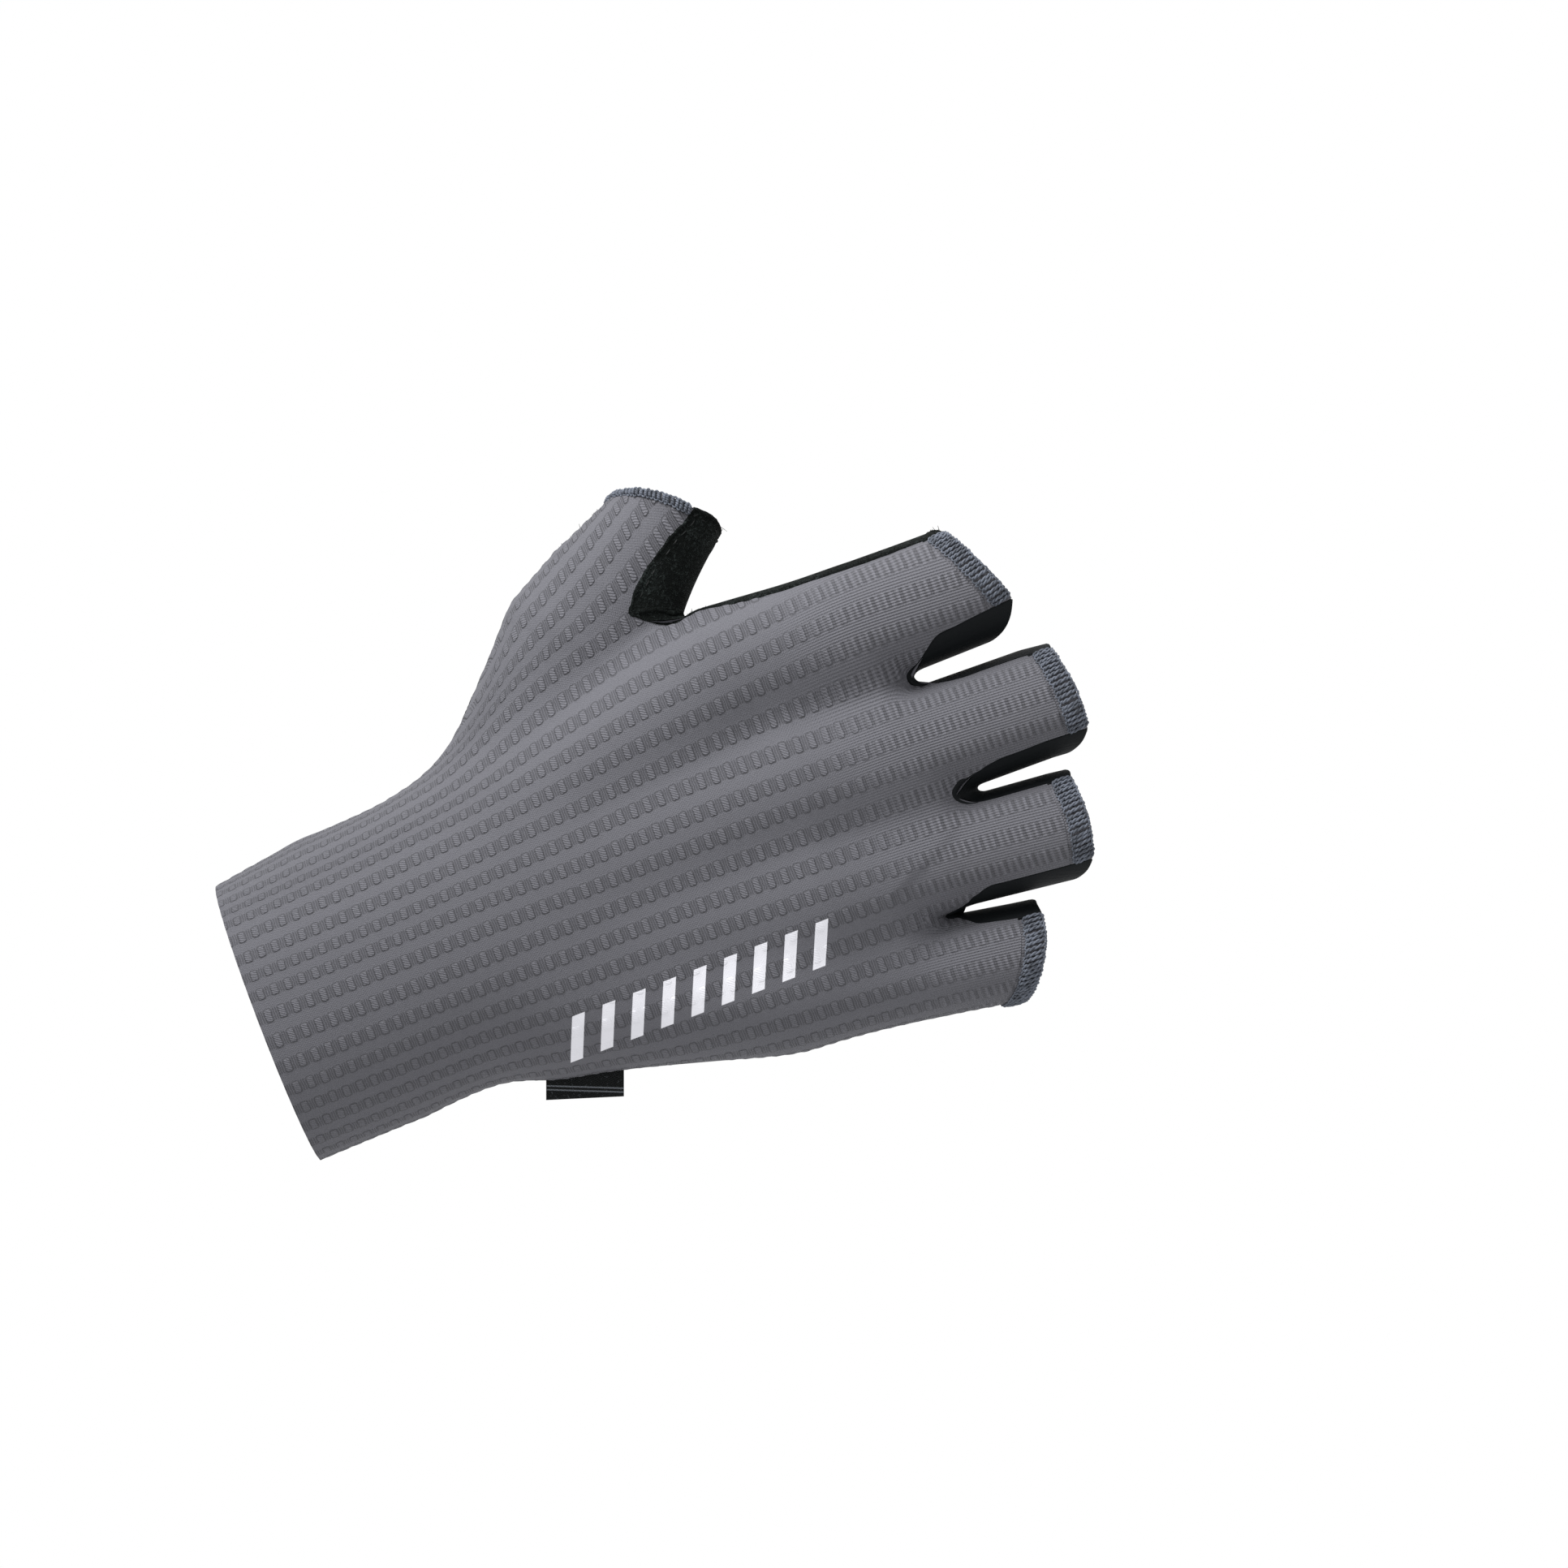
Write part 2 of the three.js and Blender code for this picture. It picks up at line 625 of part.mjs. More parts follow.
// The web between thumb and index finger, and the sides that face each other across it.
const place = ({ x, y, z }) => vec(length(x), depth(y), breadth(z));
const crotchNose = place(CROTCH.nose);
const thumbInnerEnd = place(CROTCH.end);
const webRow = fan(
  vec(crotchCorner.x - WEB_INSIDE, 0, crotchNose.z),
  crotchCorner,
  crotchNose,
  crotchPalm,
  STRIP_STEPS,
);
function indexSideRow(row) {
  const seam = indexSeamPoint(row);
  const palm = indexPalmPoint(row);
  const x = (seam.x + palm.x) / 2;
  const from = corePoint("index", 0, x);
  const through = vec(x, from.y, from.z + INDEX_RADIUS);
  return fan(from, seam, through, palm, STRIP_STEPS);
}
function thumbSideRow(row) {
  const from = corePoint("thumb", THUMB.core, thumbCoreX(row));
  const through = crotchNose.clone().lerp(thumbInnerEnd, thumbAt(row));
  return fan(from, thumbEdgePoint(row), through, thumbPalmPoint(row), STRIP_STEPS);
}
// Close to the web a row of a side lies between the web and the first row clear of it.
function sideRows(clear, rowAt, firstAt, lastAt) {
  const far = rowAt(CROTCH_ROW + clear);
  const rows = [webRow];
  for (let step = 1; step < clear; step += 1) {
    const row = CROTCH_ROW + step;
    rows.push(bridge(webRow, far, step / clear, firstAt(row), lastAt(row)));
  }
  rows.push(far);
  for (let row = CROTCH_ROW + clear + 1; row <= END_ROW; row += 1) rows.push(rowAt(row));
  return rows;
}
const indexSideRows = () => sideRows(INDEX_WEB_ROWS, indexSideRow, indexSeamPoint, indexPalmPoint);
const thumbSideRows = () => sideRows(THUMB_WEB_ROWS, thumbSideRow, thumbEdgePoint, thumbPalmPoint);

// The strip of a slit: down one finger's side, round the web and up the next finger's side.
function stripRows(i) {
  const opens = slitRow(i);
  const corner = seamPoint(i, i, opens, false);
  const palmCorner = seamPoint(i, i, opens, true);
  const noseX = corner.x + length(SLITS[i].nose);
  const legRow = (finger, row) => {
    const leg = finger === i ? SLITS[i].low : SLITS[i].high;
    const seam = seamPoint(i, finger, row, false);
    const end = length(FINGERS[finger][finger === i ? "high" : "low"]);
    const share = (seam.x - corner.x) / (end - corner.x);
    const x = lerp(noseX, length(leg.side), share);
    const from = corePoint(FINGERS[finger].name, 0, x);
    const through = vec(x, from.y, from.z + (finger === i ? 1 : -1));
    return fan(from, seam, through, seamPoint(i, finger, row, true), STRIP_STEPS);
  };
  const rows = [];
  for (let row = END_ROW; row > opens; row -= 1) rows.push(legRow(i, row));
  const { y } = tubeAt(FINGERS[i].name, corner.x);
  const inside = vec(corner.x - WEB_INSIDE, y, corner.z);
  rows.push(fan(inside, corner, vec(noseX, y, corner.z), palmCorner, STRIP_STEPS));
  for (let row = opens + 1; row <= END_ROW; row += 1) rows.push(legRow(i + 1, row));
  return rows;
}

// A closed sheet of cloth over patches of surface points. Patches that share points are one sheet,
// and its free edges draw back from the seams by half the seam's gap.
function sheet(patches, proud, thickness) {
  const points = [];
  const indexOf = new Map();
  const vertex = (p) => {
    const key = [p.x, p.y, p.z].map((v) => v.toFixed(4)).join();
    if (!indexOf.has(key)) {
      indexOf.set(key, points.length);
      points.push(p);
    }
    return indexOf.get(key);
  };
  const quads = [];
  for (const rows of patches) {
    const cells = [];
    let facing = 0;
    for (let r = 1; r < rows.length; r += 1) {
      for (let c = 1; c < rows[r].length; c += 1) {
        const corners = [rows[r - 1][c - 1], rows[r][c - 1], rows[r][c], rows[r - 1][c]];
        const across = corners[2].clone().sub(corners[0]);
        const normal = across.cross(corners[3].clone().sub(corners[1]));
        facing += normal.dot(slope(corners[0]));
        cells.push(corners.map(vertex));
      }
    }
    quads.push(...(facing > 0 ? cells : cells.map((cell) => cell.reverse())));
  }
  const normals = points.map((p) => slope(p).normalize());
  const used = new Set(quads.flatMap((q) => q.map((a, i) => `${a},${q[(i + 1) % 4]}`)));
  const border = [...used].filter((edge) => !used.has(edge.split(",").reverse().join()));
  const edges = border.map((edge) => edge.split(",").map(Number));
  const inward = new Map();
  for (const [a, b] of edges) {
    const run = points[b].clone().sub(points[a]).normalize();
    for (const end of [a, b]) {
      const pull = normals[end].clone().cross(run).normalize();
      inward.set(end, [...(inward.get(end) || []), pull]);
    }
  }
  const drawn = points.map((p, i) => {
    if (!inward.has(i)) return p;
    const [one, other] = inward.get(i);
    const both = one.clone().add(other);
    return p.clone().addScaledVector(both, SEAM_GAP / 2 / Math.max(1 + one.dot(other), 0.5));
  });
  const positions = [];
  for (const level of [proud, proud - thickness]) {
    drawn.forEach((p, i) => {
      positions.push(...p.clone().addScaledVector(normals[i], level).toArray());
    });
  }
  const under = points.length;
  const triangles = [];
  for (const [a, b, c, d] of quads) {
    const short = drawn[a].distanceTo(drawn[c]) < drawn[b].distanceTo(drawn[d]);
    const halves = short ? [[a, b, c], [a, c, d]] : [[a, b, d], [b, c, d]];
    for (const [i, j, k] of halves) triangles.push(i, j, k, under + k, under + j, under + i);
  }
  for (const [a, b] of edges) triangles.push(b, a, under + a, b, under + a, under + b);
  const geometry = new THREE.BufferGeometry();
  geometry.setAttribute("position", new THREE.Float32BufferAttribute(positions, 3));
  geometry.setIndex(triangles);
  return geometry;
}

// The woven label, held in the seam of the little finger's side at the wrist.
function labelGeometry() {
  const steps = 3;
  const rows = [[], []];
  for (let i = 0; i <= steps; i += 1) {
    const x = LABEL_AT + (i / steps) * LABEL_LENGTH;
    const seam = leave(corePoint("little", FINGERS[0].core, x), around(ULNAR_SEAM));
    rows[0].push(seam.add(vec(0, 0, -SEAM_GAP)));
  }
  const lean = vec(-Math.sin(LABEL_LEAN * DEGREES), 0, -Math.cos(LABEL_LEAN * DEGREES));
  const near = rows[0][0].clone().addScaledVector(lean, LABEL_DROP.near);
  const far = rows[0][steps].clone().addScaledVector(lean, LABEL_DROP.far);
  for (let i = 0; i <= steps; i += 1) rows[1].push(near.clone().lerp(far, i / steps));
  const positions = [];
  for (const side of [0.5, -0.5]) {
    for (const p of rows.flat()) positions.push(p.x, p.y + side * LABEL_THICKNESS, p.z);
  }
  const across = steps + 1;
  const under = 2 * across;
  const triangles = [];
  const quad = (a, b, c, d) => triangles.push(a, b, c, a, c, d);
  for (let i = 0; i < steps; i += 1) {
    quad(i, i + 1, across + i + 1, across + i);
    quad(under + across + i, under + across + i + 1, under + i + 1, under + i);
    quad(i + 1, i, under + i, under + i + 1);
    quad(across + i, across + i + 1, under + across + i + 1, under + across + i);
  }
  quad(0, across, under + across, under);
  quad(across - 1, under + across - 1, under + 2 * across - 1, 2 * across - 1);
  const geometry = new THREE.BufferGeometry();
  geometry.setAttribute("position", new THREE.Float32BufferAttribute(positions, 3));
  geometry.setIndex(triangles);
  return geometry;
}

const knit = new THREE.MeshStandardMaterial({ color: 0x6b6b70, roughness: 0.9, metalness: 0 });
const suede = new THREE.MeshStandardMaterial({ color: 0x1c201f, roughness: 1, metalness: 0 });
const stretch = new THREE.MeshStandardMaterial({ color: 0x15191c, roughness: 0.8, metalness: 0 });
const thread = new THREE.MeshStandardMaterial({ color: 0x5a6472, roughness: 0.85, metalness: 0 });
const woven = new THREE.MeshStandardMaterial({ color: 0x17191a, roughness: 0.7, metalness: 0 });

const mitt = new THREE.Group();
function add(name, geometry, material) {
  const mesh = new THREE.Mesh(geometry, material);
  mesh.name = name;
  mitt.add(mesh);
}

const fingerIndexes = FINGERS.map((_, i) => i);
const backPatches = [
  ...fingerIndexes.map((i) => fingerRows(i, 0, HEM_ROW, false)),
  ...fingerIndexes.map((i) => fingerRows(i, 0, PALM_ROW, true)),
  thumbBackRows(0, HEM_ROW),
  thumbPalmRows(0, PALM_ROW),
];
add("back_panel", sheet(backPatches, 0, CLOTH), knit);

const palmPatches = [
  ...fingerIndexes.map((i) => fingerRows(i, PALM_ROW, END_ROW, true)),
  thumbPalmRows(PALM_ROW, CROTCH_ROW),
  indexSideRows(),
];
add("palm_panel", sheet(palmPatches, 0, CLOTH), suede);

add("thumb_panel", sheet([thumbPalmRows(CROTCH_ROW, END_ROW), thumbSideRows()], 0, CLOTH), suede);

SLITS.forEach((slit, i) => add(slit.name, sheet([stripRows(i)], 0, CLOTH), stretch));

const hemThickness = CLOTH + 2 * HEM_PROUD;
FINGERS.forEach(({ name }, i) => {
  add(`hem_${name}`, sheet([fingerRows(i, HEM_ROW, END_ROW, false)], HEM_PROUD, hemThickness), thread);
});
add("hem_thumb", sheet([thumbBackRows(HEM_ROW, END_ROW)], HEM_PROUD, hemThickness), thread);

add("side_label", labelGeometry(), woven);

export default mitt;
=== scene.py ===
"""A slip-on cycling mitt in its worn form: embossed knit back, suede palm and thumb, stretch strips
between the fingers, overlocked hems, a woven side label and a plain row of printed bars."""

import bpy
import numpy as np
from mathutils import Matrix, Vector


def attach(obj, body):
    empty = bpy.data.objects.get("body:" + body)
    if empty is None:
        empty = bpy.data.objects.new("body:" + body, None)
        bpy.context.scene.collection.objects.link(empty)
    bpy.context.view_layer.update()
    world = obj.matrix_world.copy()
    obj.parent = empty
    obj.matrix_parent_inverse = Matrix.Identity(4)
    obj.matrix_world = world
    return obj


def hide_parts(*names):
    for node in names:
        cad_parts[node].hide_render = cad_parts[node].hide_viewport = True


bl_info = {
    "name": "Cycling mitt",
    "version": (1, 0, 0),
    "blender": (4, 5, 0),
    "location": "3D View > Sidebar > Mitt",
    "description": "Builds the cloth, suede, thread and label of a fingerless cycling mitt",
    "category": "Object",
}

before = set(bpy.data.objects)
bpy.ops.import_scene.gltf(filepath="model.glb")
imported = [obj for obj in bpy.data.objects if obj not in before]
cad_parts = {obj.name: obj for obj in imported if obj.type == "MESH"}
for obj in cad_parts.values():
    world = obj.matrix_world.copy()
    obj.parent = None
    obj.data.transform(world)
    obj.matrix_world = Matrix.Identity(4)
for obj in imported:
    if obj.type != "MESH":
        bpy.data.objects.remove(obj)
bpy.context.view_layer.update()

MM = 0.001
SEED = 7
CLOTH = 1.2  # thickness of every cloth, mm

# The tubes that the hand's form is blended from, in mm: a tube's flatness, and along its centre line
# the places x, y, z with the radius there.
TUBES = {
    "forearm": (0.7, [
        (-30.08, 0, -0.52, 27.58), (0, 0, 0.26, 28.08), (20, 0, 2, 29.26), (38.08, -0.51, 2.96, 28.2),
        (58.08, -0.99, 4, 20.44), (84, -2.01, 4, 12.04),
    ]),
    "heel": (1, [(54.08, 3.99, -16.01, 10), (92, 3, -26.97, 9.5)]),
    "little": (1, [
        (56, -0.99, -18.01, 9.99), (98.08, -1.5, -30.45, 10.28), (120, -0.99, -34.97, 9.41),
        (140, -0.99, -38.54, 9.41), (168, -0.99, -42.54, 8.83),
    ]),
    "ring": (1, [
        (60, -3, -8, 9.03), (108, -3.99, -14.27, 12.29), (136, -3, -16.7, 10.19),
        (156, -3, -18.88, 10.5), (182.08, -3, -22.01, 9.97),
    ]),
    "middle": (1, [
        (60, -3.99, 6, 9.05), (112, -5.01, 6.79, 12.75), (140, -3.99, 5.22, 10.9),
        (160, -3.51, 4.79, 10.79), (190.08, -3, 1.83, 10.25),
    ]),
    "index": (1, [
        (60, -3, 20.01, 9), (108, -3.99, 31.32, 12.9), (136, -3, 30.97, 12.12),
        (156, -3, 30.97, 11.88), (182.08, -3, 29.58, 10.8),
    ]),
    "thumb": (0.94, [
        (34.08, 2.01, 8.96, 8.96), (60, 5.01, 30.45, 10.53), (80.96, 8.01, 48.29, 14),
        (90.08, 8.49, 53.94, 13.33), (106.08, 8.01, 63.77, 10.64), (124, 6.99, 80.48, 9.63),
    ]),
}
# How softly the tubes blend at the palm and at the fingers, mm; over what length along the hand the one
# passes into the other, mm; and how much further on the webs lie for each mm towards the palm
SOFT_PALM, SOFT_FINGERS, WEB_RUN, WEB_SLANT = 4.5, 0.35, 9, 0.3
# How far along the hand the fingers part, and between which heights one web passes into the next, mm
WEBS = [(131.5, None, None), (147, -21.75, -11.31), (144.5, 0, 10.44)]
ON_FORM = 0.3  # a solid's point lies on the cloth's outer face if it is so near to the form, mm
LINING_CUTS = 3  # into how many parts each edge of the rim and the lining is cut

# Places on the back where the seams are drawn over a little, mm: x, z, the shift in x and z, its reach.
# The first ones are at the thumb's corner, the others round off the webs between the fingers. Each
# shift fades out over a depth y from the first number to the second, mm.
CORNER_SHIFTS = [(96.2, 41.8, 0, 4.5, 4), (103.4, 42.8, 0, 1.3, 4), (111.6, 43.1, 0, 0.5, 4)]
CORNER_DEPTH = (8, 2)
WEB_SHIFTS = [
    (141.2, 19.2, 0.3, 2.4, 3.2), (143, 15.5, 0, -1.2, 3), (141, -4.6, -0.8, 0.9, 2.6),
    (132, -26, -1.2, 0.8, 3),
]
WEB_DEPTH = (0, -4)

# The run of the knit's rows: at the place x, z in mm they lean towards the thumb by so many degrees
ROW_LEAN = [
    (0, -26, -1), (0, 0, 0), (0, 26, 1), (50, -30, -1.5), (55, 0, 0), (55, 22, 4), (58, 38, 12),
    (80, 58, 27), (96, 66, 32), (108, 70, 33), (85, 42, 12), (100, 35, 4), (100, -38, -3),
    (100, -15, -2), (110, 10, -1), (140, -40, -8), (152, -19, -7), (155, 5, -4), (152, 31, -4),
]
ROW_SPACING = 5.4  # from one row of pads to the next, mm
ROW_BASE = 85.0  # the place along the hand where the rows are evenly spaced, mm
PAD_PITCH = 2.8  # from one pad to the next along a row, mm
PAD_HALF = (0.72, 1.42)  # half a pad along and across the row, mm
PAD_CORNER = 0.45  # radius of a pad's corners, mm
PAD_SLOPE = (0.25, -0.35)  # a pad rises from so far outside its edge to so far inside it, mm
# The rows' turn to the sides is taken on a form rounded so far, so far off the cloth, and both fade out
# between these places along the hand, mm
ROW_BLUR, BLUR_RUN = 14, (84, 112)
ROW_LIFT, LIFT_RUN = 6, (100, 120)
CUFF_ARC, HAND_ARC = 24, 10.5  # radius of the cloth's turn to the sides at the cuff and on the fingers, mm
ARC_RUN = (20, 90)  # where the one radius passes into the other, mm
CUFF_RUN = (40, 75)  # where the turn of the round cuff passes into the turn of the hand, mm
CUFF_CENTRE = (0.3, 3.5)  # height of the cuff's middle at its opening and 40 mm on, mm
PALM_RUN = (58, 75)  # where the cuff's palm side ends, mm
PALM_TURN = (1.3, 2.2)  # the angle from the back at which the palm side begins, in radians

PALM_SWELL, THUMB_SWELL = 0.25, 0.15  # height of the suedes' soft unevenness, mm
EDGE_STEP = 0.5  # from one point to the next along an edge that is rolled or turned over, mm
PALM_EDGE, THUMB_EDGE, LOW_EDGE = 0.62, 0.5, 0.45  # radius of the suedes' rolled edges, mm
LOW_SINK, HIGH_SINK = 0.5, 0.3  # how deep the edge lies below the thumb's root and above it, mm
EDGE_RUN = (20, 36)  # the heights between which the lower edge passes into the upper one, mm
STRIP_EDGE, WEB_EDGE = 0.34, 1.1  # half the width of the strip's edge, and at the web, mm
WEB_REACH, WEB_BACK = 4, 0.5  # how far the wide part reaches, and how far back it is drawn, mm

# The sewn line on the thumb: its distance from the edge, its thread's radius, the spacing of its points
# and the height above which it shows, mm; and how many points a stitch has and how many to the next
STITCH_INSET, STITCH_RADIUS, STITCH_STEP, STITCH_FOOT = 1.25, 0.13, 0.25, 51
STITCH_POINTS, STITCH_PITCH = 7, 10
STITCH_ARCH = (-0.3, -0.02, 0.05, 0.08, 0.05, -0.02, -0.3)  # height over the suede along a stitch, mm
THUMB_FIBRES, PALM_FIBRES = 300, 240  # how many loose fibres each suede's edge sheds
FIBRE_RADIUS, FIBRE_LENGTH = 0.07, (0.25, 0.8)  # mm
FIBRES_FROM = (80, 36)  # x and z above which the edges have fibres, mm

# Along one wrap of the hem: the share of the hem's width, and the height over the cloth in mm
HEM_WRAP = [
    (0.18, -0.2), (0.22, 0.16), (0.3, 0.3), (0.42, 0.34), (0.6, 0.34), (0.8, 0.3), (0.93, 0.25),
    (1.03, 0.05), (1.07, -0.45), (1.04, -1.0), (0.97, -1.4), (0.8, -1.5), (0.6, -1.5),
]
WRAP_POINTS, WRAP_INNER, WRAP_OUTER = 31, 2, 17  # points of a wrap, and which are tied at its two ends
PLY_TURNS, PLY_OFFSET, PLY_RADIUS = 3.5, 0.5, 0.62  # turns of the two plies; shares of the thread
# The tied threads at the wraps' inner and outer ends: how far each loop bows out, its height over the
# cloth and its radius, mm
CHAIN, OUTER_LOOPS = (-0.5, 0.1, 0.17), (0.35, 0.2, 0.22)
BED_ROWS, BED_SHARES = 12, (-0.2, 1.03)  # rows of the cloth under the hem, and where it starts and ends

# The printed row, mm: where it runs on the back, and its bars' pitch, width, height and slant
PRINT = {"start": 52.0, "end": 104.4, "low": -27.4, "height": 8.4, "pitch": 6.2, "bar": 2.6, "slant": 0.45}
LABEL_FOOT = (45.3, -32.6, 0.42)  # x, z of the corner of its lower edge, mm, and that edge's fall
LABEL_LINES = (1.9, 2.7)  # heights of its two pale lines over that edge, mm
LABEL_SHIFT = (-0.8, 0, 0.9)  # how far the tab hangs from the solid one, mm

FLOOR_LEVEL, FLOOR_HALF = -0.45, 0.6  # m
MIDDLE = Vector((0.1093, 0, 0.0078))  # the point that the camera looks at, m
RIGHT, UP = Vector((0.9336, 0, -0.3584)), Vector((0.3584, 0, 0.9336))  # the picture's own directions
LENS, SENSOR = 143, 36  # mm
# Each light: its place to the right, up and towards the camera from the middle in m, power in W, size in m
LIGHTS = [("key", -0.25, 0.5, 0.25, 6, 0.2), ("fill", -0.2, 0.7, 0.9, 1, 0.8)]


def smooth(x, low, high):
    """Nought at low, one at high, and a soft passage between."""
    t = np.clip((x - low) / (high - low), 0, 1)
    return t * t * (3 - 2 * t)


def lerp(a, b, t):
    return a + (b - a) * t


def unit(v):
    """Vectors at a length of one."""
    return v / np.maximum(np.linalg.norm(v, axis=-1, keepdims=True), 1e-9)


def tube_distance(p, name):
    """How far each point lies outside one tube, in mm."""
    flatness, rows = TUBES[name]
    rows = np.array(rows, float)
    squash = np.array([1, 1 / flatness, 1])
    nearest = np.full(len(p), np.inf)
    for a, b in zip(rows[:-1], rows[1:]):
        run = (b[:3] - a[:3]) * squash
        to = (p - a[:3]) * squash
        h = np.clip(to @ run / (run @ run), 0, 1)
        to -= h[:, None] * run
        nearest = np.minimum(nearest, np.sqrt(np.einsum("ij,ij->i", to, to)) - lerp(a[3], b[3], h))
    return nearest


def form(p, blur=None):
    """How far each point lies outside the worn mitt, in mm; a blur rounds its hollows further."""
    parting = np.full(len(p), float(WEBS[0][0]))
    for at, low, high in WEBS[1:]:
        parting = lerp(parting, at, smooth(p[:, 2], low, high))
    parting += WEB_SLANT * p[:, 1]
    soft = lerp(SOFT_PALM, SOFT_FINGERS, smooth(p[:, 0], parting - WEB_RUN, parting))
    if blur:
        soft = lerp(blur, soft, smooth(p[:, 0], *BLUR_RUN))
    total = sum(np.exp(-np.clip(tube_distance(p, name) / soft, -30, 60)) for name in TUBES)
    return -soft * np.log(total)


def slope(p, blur=None):
    """The form's rise at each point along x, y and z."""
    e = 0.01
    steps = np.eye(3) * e
    return np.stack([(form(p + s, blur) - form(p - s, blur)) / (2 * e) for s in steps], -1)


def settle(p, level=0, rounds=2, reach=0.8, ways=(1, 1, 1)):
    """Moves points along the form's slope until they lie at the wanted height over it."""
    for _ in range(rounds):
        rise = slope(p) * ways
        size = np.maximum(np.linalg.norm(rise, axis=1), 0.2)
        off = np.clip((form(p) - level) / size, -reach, reach)
        p = p - rise * (off / size)[:, None]
    return p


def shifts_at(p, shifts, depth):
    """Each point's shift, and which points have one worth making."""
    move = np.zeros_like(p)
    for x, z, dx, dz, reach in shifts:
        share = np.exp(-((p[:, 0] - x) ** 2 + (p[:, 2] - z) ** 2) / reach**2) * smooth(p[:, 1], *depth)
        move += share[:, None] * (dx, 0, dz)
    return move, np.linalg.norm(move, axis=1) > 0.02


def drawn_over(p, level=0):
    """Points of the cloths with the seams at the thumb's corner drawn over to their lines on the back."""
    move, moved = shifts_at(p, CORNER_SHIFTS, CORNER_DEPTH)
    p = p + move
    level = np.broadcast_to(level, len(p))
    p[moved] = settle(p[moved], level[moved], rounds=12, ways=(0, 1, 0))
    return p


def rounded_webs(p, steps=8):
    """Points on the form slid along it so that the seams round off between the fingers."""
    move, moved = shifts_at(p, WEB_SHIFTS, WEB_DEPTH)
    p = p.copy()
    for _ in range(steps):
        out = unit(slope(p[moved]))
        part = move[moved] / steps
        p[moved] = settle(p[moved] + part - np.sum(part * out, 1, keepdims=True) * out, rounds=1)
    return p


def cad_mesh(name):
    """A node's welded points, in mm, and its triangles."""
    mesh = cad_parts[name].data
    mesh.calc_loop_triangles()
    p = np.empty(len(mesh.vertices) * 3)
    mesh.vertices.foreach_get("co", p)
    p = p.reshape(-1, 3) / MM
    t = np.empty(len(mesh.loop_triangles) * 3, np.int64)
    mesh.loop_triangles.foreach_get("vertices", t)
    _, first, back = np.unique(np.round(p, 2), axis=0, return_index=True, return_inverse=True)
    t = back.reshape(-1)[t].reshape(-1, 3)
    return p[first], t[(t[:, 0] != t[:, 1]) & (t[:, 1] != t[:, 2]) & (t[:, 0] != t[:, 2])]


def loops(triangles):
    """The closed chains of open edges round a set of triangles."""
    edges = {}
    for a, b, c in triangles:
        for one, other in ((a, b), (b, c), (c, a)):
            edges[(one, other)] = True
    follow = {a: b for a, b in edges if (b, a) not in edges}
    chains = []
    while follow:
        start, at = next(iter(follow.items()))
        chain = [start]
        del follow[start]
        while at != start and at in follow:
            chain.append(at)
            at = follow.pop(at)
        chains.append(chain)
    return chains


def hermite(start, end, leave, arrive, t):
    """Places on the curve from start to end that leaves and arrives with those headings."""
    return (
        (2 * t**3 - 3 * t**2 + 1) * start + (t**3 - 2 * t**2 + t) * leave
        + (3 * t**2 - 2 * t**3) * end + (t**3 - t**2) * arrive
    )


def bend(p, chain, share):
    """A point for each edge of a closed chain at that share of the edge, on a smooth curve."""
    q = p[chain]
    before, after, far = np.roll(q, 1, 0), np.roll(q, -1, 0), np.roll(q, -2, 0)
    run = after - q

    def heading(a, b, c):
        # Smooth through a slight turn; a sharp corner stays a corner
        one, two = b - a, c - b
        even = np.sum(unit(one) * unit(two), 1)
        keep = smooth(even, 0.55, 0.8)[:, None]
        scale = np.linalg.norm(run, axis=1, keepdims=True)
        return lerp(unit(run), unit(unit(one) + unit(two)), keep) * scale

    return hermite(q, after, heading(before, q, after), heading(q, after, far), share)


def refine(p, triangles, n, chains=()):
    """Cuts every triangle into n by n; edges on the chains follow smooth curves."""
    bent = {}
    for chain in chains:
        for k in range(1, n):
            for a, b, q in zip(chain, np.roll(chain, -1), bend(p, chain, k / n)):
                bent[(a, b, k)] = bent[(b, a, n - k)] = q
    place, points, out = {}, [], []

    def at(t, i, j, k):
        weights = tuple(sorted((v, w) for v, w in zip(t, (i, j, k)) if w))
        if weights not in place:
            place[weights] = len(points)
            if len(weights) == 2 and (weights[0][0], weights[1][0], weights[1][1]) in bent:
                points.append(bent[(weights[0][0], weights[1][0], weights[1][1])])
            else:
                points.append(sum(p[v] * w for v, w in weights) / n)
        return place[weights]

    for t in triangles.tolist():
        grid = [[at(t, n - i, i - j, j) for j in range(i + 1)] for i in range(n + 1)]
        for i in range(n):
            for j in range(i + 1):
                out.append((grid[i][j], grid[i + 1][j], grid[i + 1][j + 1]))
                if j < i:
                    out.append((grid[i][j], grid[i + 1][j + 1], grid[i][j + 1]))
    return np.array(points), np.array(out)


